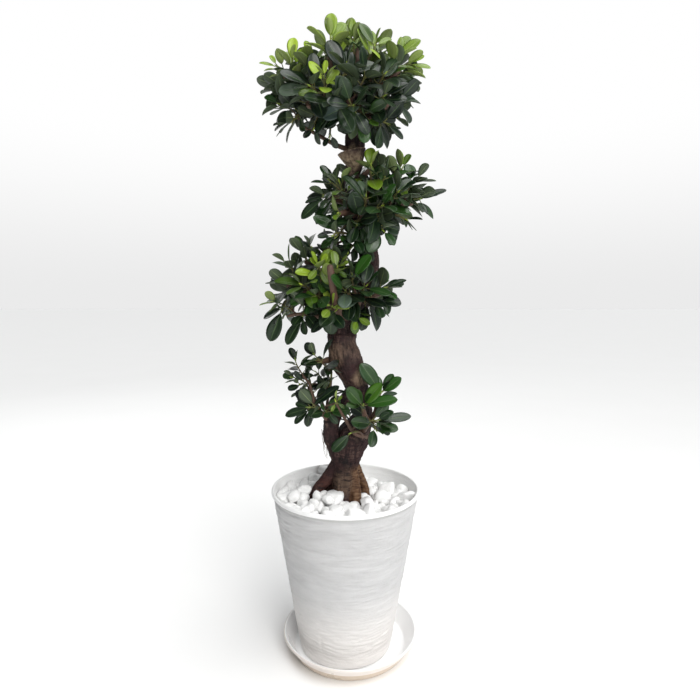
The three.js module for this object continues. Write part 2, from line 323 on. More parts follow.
      leaves: [[-11.4,19,958.8,-11.6,17.9,958.5,0.61,0.11,0.78,-0.56,-0.63,0.53,32.1,21.5,7.2,0.07,0.18],
        [-10.3,19.8,955,-11.2,19.5,954.7,-0.96,0.27,0.12,0.03,-0.3,0.95,36.8,21.9,7.9,0.1,0.22],
        [-2.3,29.3,942.9,-2.3,28.9,942.5,0.38,0.47,0.8,-0.18,-0.8,0.56,36.8,24.5,9.6,0.09,0.23]] },
    { twig: [[2.5,61.5,965.3,2.3],[19.4,79.2,971.4,1.8],[27.7,98,977.3,1.3]],
      leaves: [[22.1,85.1,973.3,22.8,85,972.8,0.15,0.78,-0.6,-0.3,0.62,0.73,39.4,23.5,7.8,0.06,0.17],
        [20.5,81.6,972.2,20.7,81.3,972.8,0.04,0.02,1,0.45,0.89,-0.04,38.3,24.7,9.1,0.15,0.18],
        [16.2,75.8,970.2,16,75.9,970.3,-0.65,0.72,0.22,0.49,0.18,0.86,38.8,23.7,7.7,0.04,0.27]] },
    { twig: [[3.3,54,955.1,2.3],[-0.5,76.7,945,1.8],[-1.7,98,937.5,1.3]],
      leaves: [[-1.3,90,940.3,-1.3,90.1,940.5,0.4,0.82,0.42,-0.81,0.1,0.58,36.2,22.3,9.9,0.14,0.2],
        [-0.6,79.1,944.2,-0,79.2,944.1,0.94,0.34,-0.02,-0.24,0.72,0.65,41.5,27.1,9.9,0.08,0.15],
        [0.6,70.4,947.8,0.7,70.7,948.2,0.4,0.72,0.56,-0.77,-0.07,0.63,31.7,19.2,9.8,0.11,0.22]] }
  ] },
  { name: 'leafy_branch_crown_09', limb: [[9.4,0,864.8,8],[4.8,-24.7,867.7,6.1],[0.7,-49.6,870.1,5],[-2.8,-74,875.7,3.4]], shoots: [
    { twig: [[0,-54,870.7,2.3],[14.4,-57.2,892.5,1.8],[22.7,-70,904.5,1.3]],
      leaves: [[19.4,-64.9,899.7,20.1,-63.9,900.3,0.45,-0.88,-0.14,0.26,-0.03,0.97,36.4,21.7,8.3,0.04,0.21],
        [15.6,-59,894.2,15.3,-58.9,894.5,-0.54,-0.78,0.31,0.29,0.18,0.94,42.7,27.8,8,0.15,0.27],
        [14,-57.1,891.9,14.5,-57.4,891.6,0.81,-0.56,-0.19,-0.17,-0.52,0.84,32.5,20.6,9.2,0.11,0.26]] },
    { twig: [[-0.8,-59.6,871.8,2.3],[2.3,-74.6,859.3,1.8],[4.5,-90.4,854.1,1.3]],
      leaves: [[3.6,-83.7,856.3,3.2,-83.6,855.6,-0.68,-0.73,-0.08,0.63,-0.63,0.46,35.6,21.8,9,0.15,0.12],
        [0.8,-67.4,865.3,0.9,-66.4,864.2,0.09,0.59,-0.8,0.65,-0.64,-0.4,39.4,23.7,10,0.08,0.26]] },
    { twig: [[1,-47.5,869.9,2.3],[-14.6,-66.5,864.8,1.8],[-23.8,-86,860.5,1.3]],
      leaves: [[-20.2,-78.4,862.2,-21.2,-77.9,862.3,-0.95,-0.28,0.1,0.29,-0.81,0.51,36.2,22.5,8.2,0.04,0.14],
        [-17.5,-72.7,863.4,-17.7,-72.5,862.9,0.38,-0.46,-0.8,-0.11,-0.88,0.46,42,24.5,9.5,0.15,0.15],
        [-15.5,-68.5,864.4,-16.1,-68.1,863.9,-0.73,0.27,-0.62,-0.6,-0.68,0.41,43.2,28.1,8.2,0.13,0.17]] }
  ] },
  { name: 'leafy_branch_crown_10', limb: [[10.9,-2,855.1,7.5],[23.9,-24.9,854.7,5.7],[39.2,-46.1,857.3,4.7],[54.5,-66,865,3.2]], shoots: [
    { twig: [[35.9,-41.9,856.4,2.3],[41.1,-59.6,869.9,1.8],[48.1,-76,872.3,1.3]],
      leaves: [[46.5,-72.3,871.7,46.3,-72.3,872.2,0.3,-0.71,-0.64,0.34,-0.55,0.77,31.6,19.2,7,-0.05,0.18],
        [39.3,-53.7,865.3,39.7,-52.9,866.3,0.91,0.26,0.31,-0.17,-0.44,0.88,38.1,24.1,8.4,0.09,0.27],
        [38.6,-51,863.3,38.2,-51,863.4,0.09,-0.8,-0.59,-0.4,-0.57,0.71,34,23.1,9.7,0.12,0.26]] },
    { twig: [[23,-23.4,854.6,2.3],[41.8,-32.2,852.6,1.8],[56.6,-40,845.8,1.3]],
      leaves: [[50.5,-36.8,848.6,50.8,-37,849.6,0.61,-0.64,0.46,-0.32,-0.74,-0.59,33.4,20.2,7,0.09,0.27],
        [46.3,-34.6,850.5,46.3,-34.7,850.5,-0.06,-0.35,-0.93,0.78,-0.6,0.18,35.2,20.6,8.7,0.12,0.15],
        [41.8,-32.2,852.6,41.3,-32.7,852.5,-0.09,-0.95,-0.28,0.14,-0.29,0.95,33.8,20.4,9,0.15,0.18]] }
  ] },
  { name: 'leafy_branch_crown_11', limb: [[6.2,-2,858.1,7.5],[-14,-23.8,859.5,5.7],[-35.9,-43.9,862.4,4.6],[-60.8,-60,864.4,3.2]], shoots: [
    { twig: [[-41.2,-48,863,2.3],[-36.8,-61.5,883.1,1.8],[-36.6,-78,895.8,1.3]],
      leaves: [[-36.7,-70.3,889.8,-36.6,-69.6,890.8,-0.53,-0.19,0.82,0.53,-0.84,0.15,28.8,16.9,7.2,0.11,0.14],
        [-36.7,-67.9,888,-36.2,-67.8,888.2,0.09,-0.88,-0.47,0.08,-0.47,0.88,28.8,19.5,9.5,0.08,0.22]] }
  ] },
  { name: 'leafy_branch_crown_12', limb: [[7.9,8,858.4,7.5],[3.8,35.4,881.5,5.6],[-4.5,61.9,904.5,4.4],[-13.7,86,929.7,3.2]], shoots: [

  ] },
  { name: 'leafy_branch_crown_13', limb: [[-1.6,2,820,4.6],[-25.7,-8.3,826.6,3.4],[-49.5,-15.3,837.4,2.9],[-73.3,-20,849.4,2.2]], shoots: [
    { twig: [[-73.3,-20,849.4,1.4],[-87.5,-25.6,870.4,1.1],[-105.2,-30,878,0.8]],
      leaves: [[-94.9,-27.4,873.6,-94.4,-27.2,874.9,-0.59,0.8,0.08,-0.32,-0.33,0.89,40.6,24.9,9.2,0.06,0.18],
        [-89.5,-26.1,871.2,-89.3,-26.4,871.5,-0.32,-0.92,-0.2,-0.31,-0.1,0.95,40,25.9,7.3,0.08,0.27],
        [-80.4,-22.8,859.8,-79.8,-22.3,860.4,-0.72,0.67,-0.16,-0.5,-0.35,0.79,38.8,23.5,7.5,0.12,0.18]] }
  ] },
  { name: 'leafy_branch_crown_14', limb: [[11,2,838.3,5],[21.1,-8.2,838.9,4.1],[32.5,-16.7,839.9,3.3],[45.7,-22,841.4,2.8]], shoots: [

  ] },
  { name: 'leafy_branch_upper_01', limb: [[19,-6,698.3,9],[42.6,-11.8,715.2,6.7],[69.6,-12.1,727.3,5.1],[97.4,-8,736.6,3.6]], shoots: [
    { twig: [[65.1,-12.4,725.6,2.3],[86.6,-14.6,737.5,1.8],[107,-18,740.9,1.3]],
      leaves: [[106.4,-17.9,740.8,107.5,-18,741,0.94,-0.05,0.34,-0.25,-0.76,0.59,37.6,16,5.7,0.03,0.2],
        [97.1,-16.4,739.2,97.1,-15.9,739.8,0.82,0.3,-0.49,0.56,-0.58,0.59,36.9,24.3,9.8,0.13,0.24],
        [90.6,-15.3,738.2,90.5,-15.7,738.3,0.34,-0.86,-0.38,0.61,-0.11,0.79,46.6,31.4,9.3,0.04,0.2],
        [88.7,-15,737.9,88.7,-14.4,738.4,0.42,0.76,0.5,-0.29,-0.41,0.86,36.8,21.6,9.5,0.08,0.21]] },
    { twig: [[84.9,-10.2,732.7,2.3],[90.4,-9.1,756.6,1.8],[103,-10,771.3,1.3]],
      leaves: [[94.9,-9.4,761.8,94,-9.7,762.6,0.43,-0.88,0.21,0.06,0.26,0.96,33.2,19.2,9.1,0.14,0.14],
        [93.8,-9.3,760.6,93.2,-8.5,761.1,0.49,0.86,0.14,0.1,-0.22,0.97,36,20.9,9.8,0.12,0.27],
        [89.6,-9.2,753.1,89.7,-9.1,753,0.99,0.07,0.16,-0.14,-0.14,0.98,33.4,21.9,8.1,0.07,0.27],
        [87.7,-9.6,744.9,87.1,-10.2,745,0.51,-0.85,0.12,0.16,0.23,0.96,35.7,20.6,8.5,0.06,0.17]] },
    { twig: [[57.9,-12.6,722.7,2.3],[63.6,-30.8,736.9,1.8],[71.6,-48,745.4,1.3]],
      leaves: [[67.8,-39.9,741.4,67.5,-40,741.5,0.34,-0.86,-0.39,0.45,-0.21,0.87,36.7,23.8,8,0.12,0.21],
        [65,-33.8,738.4,64.2,-34,738.7,-0.76,-0.61,0.19,0.54,-0.45,0.71,43.9,28.1,8.6,0.07,0.16],
        [63.3,-30,736.3,63.1,-29.6,736.9,-0.17,0.29,0.94,0.01,-0.96,0.3,41.5,25.3,8.4,0.14,0.14]] },
    { twig: [[50.8,-12.5,719.5,2.3],[68.8,-22.9,715.8,1.8],[84.4,-30,708.6,1.3]],
      leaves: [[75.9,-26.2,712.5,76.2,-26,712.9,0.78,0.47,-0.42,0.59,-0.28,0.76,30.3,18.9,9.2,0.12,0.18],
        [75.1,-25.8,712.9,75.2,-26.4,713.9,0.39,-0.66,0.65,0.92,0.3,-0.25,33.2,19.1,8.9,0.04,0.28],
        [67.6,-22.2,716.1,67.4,-22.4,715.5,-0.04,-0.24,-0.97,0.72,-0.68,0.14,37.3,24.8,10,0.13,0.14]] }
  ] },
  { name: 'leafy_branch_upper_02', limb: [[9.5,-2,734.6,8.5],[33.4,-5.9,753,6.3],[57.8,-6.1,771,4.9],[84.8,-4,784.9,3.4]], shoots: [
    { twig: [[47.1,-6.4,763.5,2.3],[69.3,-10.2,772.4,1.8],[80.6,-14,787,1.3]],
      leaves: [[78.5,-13.3,784.4,78.9,-13.5,784,-0.15,-0.5,0.85,0.74,0.52,0.43,28.7,16.5,5.5,0.02,0.13],
        [75.9,-12.4,781,77.3,-12.1,780,0.94,0.21,0.25,-0.17,-0.34,0.92,28.6,18.6,7.5,0.13,0.21],
        [71.8,-11,775.7,72,-11.2,775.5,-0.37,-0.39,0.85,0.32,0.8,0.5,26.3,17.7,8.6,0.04,0.26]] },
    { twig: [[34.6,-6,753.9,2.3],[31.5,-24.1,769.2,1.8],[31.7,-36,786.1,1.3]],
      leaves: [[31.6,-32,780.5,31,-32.9,779.9,-0.48,-0.84,0.25,0.25,0.14,0.96,31.4,19.1,7.7,0.11,0.15],
        [31.5,-27,773.3,31.9,-27.3,773.1,0.91,-0.17,0.39,-0.41,-0.1,0.91,35.7,21,8.2,0.12,0.25],
        [31.5,-24.2,769.3,31.6,-24.8,768.9,0.14,-0.92,-0.37,-0.09,-0.38,0.92,39.7,26,7.4,0.15,0.26]] }
  ] },
  { name: 'leafy_branch_upper_03', limb: [[14.2,-10,710.1,8],[20.8,-32,712.3,6.1],[27.6,-54,713.9,4.9],[34.7,-76,714.4,3.4]], shoots: [
    { twig: [[23.4,-40.6,713,2.3],[37.5,-59.1,718,1.8],[46.1,-78,719.7,1.3]],
      leaves: [[44.6,-74.7,719.4,44.9,-74.5,719.9,0.42,-0.64,0.64,-0.85,-0.53,0.03,33.3,20.7,6.3,0.08,0.2],
        [41.9,-68.7,718.9,42,-68.6,719,-0.34,-0.9,-0.27,0.23,-0.36,0.91,37.7,25.3,8,0.08,0.18],
        [36.2,-57.3,717.5,36.2,-57.4,717,-0.05,-0.47,-0.88,0.75,-0.6,0.28,45.9,27.9,7.3,0.16,0.28]] },
    { twig: [[21.4,-34,712.5,2.3],[22.7,-54.1,726.1,1.8],[23.1,-74,734.5,1.3]],
      leaves: [[23,-69.5,732.6,22.8,-69.4,732.8,-0.47,-0.88,-0.05,0.39,-0.26,0.89,27.4,16,5.7,0.05,0.17],
        [23,-66.9,731.5,23.4,-66.8,731.9,0.66,-0.74,0.12,-0.47,-0.28,0.84,31.4,18.6,8.9,0.09,0.19],
        [22.9,-63.3,730,22.6,-63,730.8,-0.64,-0.08,0.76,0.59,-0.69,0.42,37.4,21.6,9.6,0.1,0.17]] },
    { twig: [[27.7,-54.2,713.9,2.3],[39.8,-54.8,699.1,1.8],[48.2,-63.6,687.7,1.3]],
      leaves: [[43.7,-58.8,693.9,43.7,-58,693.2,-0.32,-0.38,-0.87,0.36,-0.9,0.26,33.9,22.7,8.6,0.15,0.2],
        [41.8,-56.8,696.5,42.5,-55.8,696.2,0.8,0.59,-0.1,0.59,-0.8,0.03,38.6,23.4,8.8,0.16,0.23],
        [38.7,-54.7,700.5,38.3,-54.6,700.2,-0.28,-0.4,-0.87,0.73,-0.68,0.08,33.5,21.9,8.2,0.13,0.25]] },
    { twig: [[19.5,-27.9,712,2.3],[12.6,-48.3,704.9,1.8],[10.3,-66,696,1.3]],
      leaves: [[10.7,-62.9,697.5,10.3,-62.8,697.4,-0.27,-0.44,-0.86,-0.32,-0.8,0.51,29.8,20.2,6.8,-0.03,0.29],
        [11.2,-58.7,699.6,11.1,-59,700.2,0.56,-0.82,0.12,-0.81,-0.51,0.27,34.4,23.1,7,0.12,0.15],
        [11.7,-54.9,701.5,10.6,-55,701.8,-0.99,-0.11,-0.1,-0.01,-0.61,0.79,36.2,22.8,7.5,0.08,0.12],
        [12,-52.6,702.7,12.1,-52.5,702.5,0.57,-0.09,-0.82,-0.11,-0.99,0.03,34.3,23.3,7,0.1,0.2]] }
  ] },
  { name: 'leafy_branch_upper_04', limb: [[7.9,0,733.4,8],[-6.1,-10.5,737.3,6.5],[-20.6,-20.6,740.4,5.1],[-36.8,-28,742,3.2]], shoots: [
    { twig: [[-6.5,-10.8,737.5,2.3],[-19.9,-29.4,741,1.8],[-36.3,-38,741.5,1.3]],
      leaves: [[-35.8,-37.7,741.5,-36.7,-38,741.2,-0.76,0.04,-0.64,-0.28,-0.92,0.27,43.9,17.8,5.8,0.03,0.18],
        [-32,-35.7,741.4,-31.7,-36.2,741.6,-0.93,0.36,0,-0.28,-0.74,0.61,31.1,18.1,5.1,-0.02,0.3],
        [-27.8,-33.6,741.2,-27.1,-34.9,741.3,-0.31,-0.85,-0.41,-0.31,-0.32,0.9,36.5,23,9.4,0.13,0.2],
        [-23.6,-31.3,741.1,-23.4,-31.7,740.8,-0.65,0.2,-0.73,-0.61,-0.72,0.34,42,26.3,7.9,0.08,0.22]] },
    { twig: [[-1.7,-7.2,736.1,2.3],[-14.3,-18.3,752.6,1.8],[-29.1,-26,764.8,1.3]],
      leaves: [[-22,-22.3,759,-21.3,-22.9,759.5,0.01,-0.78,0.63,-0.77,0.4,0.5,29.9,17.5,8.2,0.08,0.2],
        [-19,-20.8,756.5,-18.8,-20.5,757,-0.49,0.68,0.54,-0.02,-0.63,0.78,37,21.1,8.2,0.05,0.27]] }
  ] },
  { name: 'leafy_branch_upper_05', limb: [[12.6,-8,716.6,7.5],[2.7,-28.5,717.1,5.8],[-7,-49,714.9,4.7],[-17.5,-68,708.6,3.2]], shoots: [
    { twig: [[0,-34,717,2.3],[-8.3,-39.6,740.7,1.8],[-14.7,-51,756.9,1.3]],
      leaves: [[-12.5,-47.1,751.4,-12.9,-46,752,-0.73,-0.04,0.68,0.67,0.17,0.73,25.2,14.6,9.4,0.15,0.15],
        [-11.3,-44.9,748.2,-11.4,-44.5,748.5,-0.22,-0.95,-0.22,-0.27,-0.16,0.95,35.3,23.4,8.2,0.12,0.24],
        [-4.2,-36.8,729.1,-4.9,-35.6,729.1,-0.85,0.51,-0.11,-0.43,-0.55,0.72,31.1,19.6,7.3,0.11,0.14]] },
    { twig: [[3,-27.8,717.2,2.3],[-7.7,-39.3,697,1.8],[-19.5,-50,680.6,1.3]],
      leaves: [[-17.5,-48.2,683.4,-17.5,-47.9,683.2,-0.8,0.14,-0.58,-0.42,-0.82,0.38,26.2,15.5,6.9,0.03,0.16],
        [-15.5,-46.4,686.1,-14.9,-46.6,685.8,0.35,-0.76,-0.55,0.1,-0.55,0.83,27.2,16.1,8.1,0.07,0.18],
        [-12.8,-43.9,689.8,-13,-44,690,-0.85,-0.33,0.41,0.43,-0.88,0.2,36.3,21.1,9.8,0.16,0.17],
        [-5,-36.4,702.1,-5.4,-36,702.1,-0.93,0.34,0.13,-0.26,-0.87,0.42,34,21.6,9.7,0.09,0.26]] }
  ] },
  { name: 'leafy_branch_upper_06', limb: [[9.6,2,733.8,8],[17.7,28.3,751.6,6.3],[29.4,53.7,768.7,5],[44.9,78,784.3,3.4]], shoots: [
    { twig: [[26.8,49,765.6,2.3],[43.4,47.5,785.4,1.8],[50.2,52,804.8,1.3]],
      leaves: [[47.3,50,796.4,48,49.7,796.2,-0.19,0.76,0.62,0.61,-0.4,0.68,33.6,21.2,8.1,0.07,0.23],
        [46.4,49.4,793.8,47.3,48.1,793.8,-0.02,-0.78,0.62,0.07,0.62,0.78,37.1,24.5,7.4,0.16,0.26],
        [45.6,48.9,791.7,46.2,47.8,791.8,-0.34,-0.68,0.66,0.52,0.45,0.73,36.3,23.6,9.1,0.15,0.15],
        [35.3,48.2,775.8,35.6,48.2,775.6,-0.34,0.77,0.54,0.16,-0.52,0.84,35.5,23.9,7.5,0.06,0.24]] },
    { twig: [[30.6,55.9,770.2,2.3],[39.2,74.3,777.9,1.8],[42.1,92,783.9,1.3]],
      leaves: [[41.1,85.6,781.7,41.3,85.6,781.7,-0.6,0.8,0.01,0.25,0.18,0.95,36,23.9,7.9,0.12,0.21],
        [40.4,81.6,780.3,41.3,81.2,780.9,0.48,0.1,0.87,-0.25,0.97,0.03,41.7,26.1,9.8,0.1,0.16],
        [39.3,74.8,778,39.8,74.9,777.6,0.65,0.54,-0.53,0.47,0.26,0.84,37.7,25.1,9.7,0.07,0.16]] },
    { twig: [[16.9,26.3,750.3,2.3],[7.1,46.6,758.5,1.8],[0,66,765,1.3]],
      leaves: [[2.7,58.6,762.6,2.6,58.4,763.1,0.08,0.43,0.9,-0.98,-0.12,0.14,35.4,21.3,8.1,0.07,0.12],
        [4.3,54.2,761.1,4.3,54.3,760.7,0.17,0.72,-0.67,0.17,0.65,0.74,36.1,23.3,7.2,0.04,0.25],
        [6.4,48.4,759.1,6,48.1,759.5,-0.73,-0.01,0.68,0.4,0.8,0.44,33.1,18.9,9.6,0.13,0.21]] }
  ] },
  { name: 'leafy_branch_upper_07', limb: [[17.4,-4,704.8,7.5],[41.4,20.6,723.1,5.9],[67.9,43.4,740.1,4.6],[98.5,60,757.2,3.2]], shoots: [
    { twig: [[77.3,50,745.5,2.3],[79.6,50.4,770.7,1.8],[87.8,58,786.5,1.3]],
      leaves: [[83.8,54.3,778.8,83.4,53.1,779.6,0.87,-0.19,0.47,-0.48,-0.03,0.88,34,21.3,7.6,0.15,0.17],
        [79.5,50.4,769.2,80,50.4,769.1,0.93,0.32,0.15,-0.2,0.11,0.97,33.9,20.6,9.2,0.08,0.26],
        [78.6,50.2,759,78.2,50.1,759,0.48,0.86,0.17,0.36,-0.38,0.85,37.2,22.3,9,0.12,0.29]] },
    { twig: [[64,40.4,737.8,2.3],[72.5,58.2,750.2,1.8],[82.8,74,753.1,1.3]],
      leaves: [[80.9,71.1,752.6,80.6,71.1,753.5,0.24,0.78,0.58,0.71,-0.55,0.44,30.8,18.2,6,-0.03,0.25],
        [78.4,67.2,751.9,78.5,67,752.8,0.98,0.18,-0.12,0.07,0.29,0.96,34.9,20.2,8.9,0.11,0.14],
        [70.6,54.2,747.5,70.7,54.2,747.4,0.55,0.45,-0.7,0.43,0.56,0.71,33.1,21.6,9.9,0.15,0.28]] }
  ] },
  { name: 'leafy_branch_upper_08', limb: [[9.6,4,731,7.5],[-5.2,23.8,739.4,5.9],[-20.4,43.9,746.4,4.6],[-37.5,62,754.3,3.2]], shoots: [
    { twig: [[-9.9,30,741.9,2.3],[-21.5,43.8,753.3,1.8],[-35.4,54,759.4,1.3]],
      leaves: [[-32.4,51.8,758.1,-31.9,52.2,758.6,-0.31,0.76,0.57,-0.74,-0.57,0.37,29.2,19,5.9,0.06,0.22],
        [-27.9,48.5,756.1,-27.6,48.8,756.2,-0.81,0.38,-0.44,-0.34,0.32,0.89,32.4,20.3,9.7,0.16,0.3],
        [-27,47.9,755.7,-26.6,47.8,756.8,-0.31,-0.31,0.9,-0.56,0.82,0.09,38.3,23.2,8.6,0.09,0.17],
        [-21.1,43.4,753,-20.7,44,752.9,0.36,0.93,-0.05,-0.33,0.18,0.93,35.7,24.3,7.9,0.07,0.27]] }
  ] },
  { name: 'leafy_branch_upper_09', limb: [[23.7,-8,679.4,6.5],[13.3,-24.2,679.9,5.1],[1.5,-39.3,679.2,3.8],[-12,-52,674.4,2.8]], shoots: [
    { twig: [[20.1,-13.7,679.6,2.3],[8.8,-26.8,672.5,1.8],[3,-40,665.3,1.3]],
      leaves: [[4.3,-37.1,666.9,4.2,-37.1,666.9,0.41,-0.83,-0.37,-0.28,-0.5,0.82,24.1,15.4,6.1,0.01,0.19],
        [12.9,-22,675.1,12.9,-21.9,674.6,0.63,-0.14,-0.76,-0.18,-0.98,0.03,29.7,18.3,7.8,0.09,0.18],
        [14.1,-20.6,675.9,13.5,-19.8,675.4,-0.28,0.54,-0.79,-0.95,-0.3,0.13,35.1,20.8,8.1,0.07,0.14]] },
    { twig: [[-0.2,-41.1,678.9,2.3],[-21.8,-33.7,670.1,1.8],[-36,-34.3,661.1,1.2]],
      leaves: [[-35.6,-34.3,661.4,-36.3,-34.6,660.9,-0.59,-0.59,-0.56,-0.47,-0.31,0.83,17,10.6,5.5,0.07,0.4],
        [-32.3,-34.1,663.5,-32.7,-33.2,664.1,-1,0.07,-0.03,-0.05,-0.36,0.93,20.6,12.7,5.8,-0,0.27],
        [-28.2,-34,666,-28.3,-33.1,666.1,-0.37,-0.12,-0.92,-0.93,0.06,0.36,23.7,14.8,8,0.13,0.28]] }
  ] },
  { name: 'leafy_branch_upper_10', limb: [[4.8,2,764.8,6.5],[12.4,-9.1,768.9,5.6],[20,-20,773.6,4.6],[27.4,-30,780.2,3.4]], shoots: [

  ] },
  { name: 'leafy_branch_middle_01', limb: [[3.3,8,562.1,9],[-27.5,-4.5,580.9,6.5],[-61.6,-13.6,595.3,5.3],[-97.7,-18,606.9,3.8]], shoots: [
    { twig: [[-63.5,-14,596,2.3],[-84.2,-22,606.6,1.8],[-104.5,-26,612.9,1.3]],
      leaves: [[-96.7,-24.5,610.5,-96.6,-24.4,611,-0.69,0.61,0.39,-0.22,-0.69,0.69,31.6,20.9,8.7,0.13,0.16],
        [-90.6,-23.3,608.6,-90.5,-24,608.5,-0.46,-0.7,-0.55,-0.51,-0.3,0.81,38.5,24.9,8.4,0.13,0.18]] },
    { twig: [[-54.1,-12,592.4,2.3],[-62.5,-37.3,601.9,1.8],[-72.3,-59.7,607.8,1.3]],
      leaves: [[-70.7,-56,606.8,-70.7,-56,606.7,-0.53,-0.76,-0.38,-0.17,-0.34,0.92,30.8,18.7,6.7,-0.03,0.21],
        [-67.1,-47.7,604.6,-67.3,-47.5,605.1,-0.96,0.08,0.28,0.21,-0.5,0.84,41.8,27.5,8,0.14,0.27]] },
    { twig: [[-89.2,-17.1,604.3,2.3],[-97.3,-28.1,586.5,1.8],[-105.6,-34,569.5,1.3]],
      leaves: [[-105.3,-33.8,570,-105.8,-34,569,-0.37,-0.04,-0.93,-0.08,-0.99,0.07,45.9,23.2,5.4,0.02,0.2],
        [-103.9,-32.8,572.9,-104.2,-33,573.1,-0.86,0.17,-0.48,-0.49,-0.57,0.67,30.7,19.8,5.1,-0.03,0.3]] },
    { twig: [[-44.3,-9.5,588.5,2.3],[-64.6,-30.3,578.2,1.8],[-72.9,-41.8,559.8,1.3]],
      leaves: [[-72.6,-41.4,560.4,-73.1,-41.9,559.4,-0.51,-0.13,-0.85,-0.26,-0.92,0.29,43.2,18.3,5.9,0.03,0.2],
        [-71.6,-40.1,562.6,-72.3,-40.8,563.4,-0.34,-0.84,-0.43,0.05,-0.47,0.88,29,18.6,6.5,0.04,0.23],
        [-69.9,-37.7,566.4,-70.7,-38.8,567.4,0.53,-0.56,-0.63,-0.24,-0.82,0.53,31.8,18.9,8.2,0.16,0.15],
        [-68.2,-35.3,570.3,-69.7,-36.6,571.8,-0.39,-0.69,0.6,0.3,0.53,0.8,38.1,23.5,8,0.04,0.22]] },
    { twig: [[-72.3,-15.4,599,2.3],[-87.5,10.7,597,1.8],[-107.9,24,594.8,1.3]],
      leaves: [[-101.9,20.1,595.4,-101,21.4,595.9,-0.49,0.6,0.63,-0.43,-0.8,0.43,30.8,19.6,8.3,0.13,0.3],
        [-95.9,16.2,596.1,-95,17.5,595.5,-0.13,0.33,-0.93,-0.83,0.48,0.28,39.1,25,9.5,0.1,0.24],
        [-84.8,6,597.4,-84.6,6.1,596.9,-0.62,-0.28,-0.73,-0.76,0.44,0.47,37.3,22.3,7.5,0.1,0.28]] }
  ] },
  { name: 'leafy_branch_middle_02', limb: [[4.9,8,565.4,8.5],[-16,-4.5,593.7,6.5],[-41.4,-11.2,620.2,5.1],[-69.6,-12,644.7,3.6]], shoots: [
    { twig: [[-53.5,-12.4,631.3,2.3],[-66.5,-14.3,645.2,1.8],[-73.8,-16,659.9,1.3]],
      leaves: [[-72.1,-15.6,656.6,-72.6,-15.9,656.3,-0.51,-0.59,0.62,0.19,0.63,0.75,29.8,19.6,5.5,-0.03,0.22],
        [-70.3,-15.2,652.9,-70.5,-15,652.8,0.26,0.33,0.91,-0.77,-0.49,0.4,35.2,23.1,8.6,0.11,0.26],
        [-66.5,-14.3,645.2,-66.1,-14.9,645,-0.18,-0.81,0.55,-0.82,0.44,0.38,28.7,17.6,9.9,0.12,0.2]] },
    { twig: [[-19.2,-6,597.6,2.3],[-25.8,-36.8,582.4,1.8],[-29.7,-60.1,564.2,1.3]],
      leaves: [[-29.6,-59.4,564.8,-30.1,-60.2,563.9,-0.72,-0.15,-0.68,-0.28,-0.83,0.48,33,16.7,6.3,0.07,0.1],
        [-28.5,-52.8,569.9,-29,-53.4,570.9,-0.53,-0.84,0.13,0.43,-0.14,0.89,34.4,21.7,8.6,0.09,0.24],
        [-27.9,-49.3,572.7,-28.1,-49.4,572.9,-0.06,0.31,-0.95,-0.22,-0.93,-0.29,33.9,22.6,9.9,0.06,0.26]] }
  ] },
  { name: 'leafy_branch_middle_03', limb: [[0,0,555.9,8.5],[-15.8,-39.5,567.2,6.8],[-23.6,-74.6,592.3,5.6],[-28.6,-92,632,5.2]], shoots: [
    { twig: [[-23.4,-73.1,590.6,2.3],[-23.2,-57.6,614.4,1.8],[-19.4,-60,632.5,1.3]],
      leaves: [[-21.5,-58.6,622.4,-21.9,-57.2,622.6,0.28,-0.93,0.24,-0.17,0.2,0.97,29.6,19.9,7.9,0.06,0.28],
        [-23.2,-57.6,614.4,-23.6,-58.2,614.4,-0.41,-0.63,0.66,-0.48,0.76,0.44,26.7,16.9,9.2,0.12,0.17]] },
    { twig: [[-10.9,-25.9,562.1,2.3],[-13.4,-51.3,575,1.8],[-19.3,-70,571.7,1.3]],
      leaves: [[-19.1,-69.4,571.8,-19.6,-70.2,571.4,-0.66,-0.43,-0.62,0.01,-0.83,0.56,31.2,25.4,5.4,0.07,0.15]] }
  ] },
  { name: 'leafy_branch_middle_04', limb: [[4.9,4,563.8,8],[9.7,-20.8,572.9,6.4],[12.9,-45.6,582.8,5.1],[14.8,-70,593.8,3.4]], shoots: [
    { twig: [[13.1,-48.3,584,2.3],[4.6,-56.5,605.8,1.8],[3,-70,620.2,1.3]],
      leaves: [[3.7,-63.8,613.6,3.3,-62.9,614.4,0.55,-0.15,0.82,-0.58,-0.77,0.25,36.8,23.1,8.6,0.06,0.24],
        [4.6,-56.7,606,4.8,-57.1,605.6,0.18,-0.98,-0.03,0.02,-0.02,1,38.2,22.1,9.5,0.12,0.15],
        [6.3,-54.8,601.3,6.3,-53.7,601.7,0.32,0.58,0.75,-0.48,-0.58,0.66,40.1,23.9,7.9,0.1,0.14],
        [8.8,-52.5,595,8,-52.3,594.8,-0.34,-0.84,-0.41,0.12,-0.48,0.87,37,23.9,7.3,0.1,0.22]] },
    { twig: [[11.9,-35.2,578.5,2.3],[17.3,-49.7,596.3,1.8],[23.8,-66,605.7,1.3]],
      leaves: [[21.4,-60.1,602.3,21.6,-59.8,602.8,0.78,-0.61,-0.15,-0.2,-0.47,0.86,36.3,21.2,9.5,0.11,0.12],
        [17.9,-51.2,597.1,18.4,-51,597.1,0.94,-0.35,-0.02,0.04,0.05,1,40.8,23.6,7.3,0.16,0.27],
        [14.8,-42.9,587.9,15.1,-42.6,588,0.77,-0.62,-0.18,-0.18,-0.48,0.86,36.9,21.6,9.2,0.11,0.17]] },
    { twig: [[12.6,-42,581.3,2.3],[-2.3,-58.9,594,1.8],[-7.3,-78,599.5,1.3]],
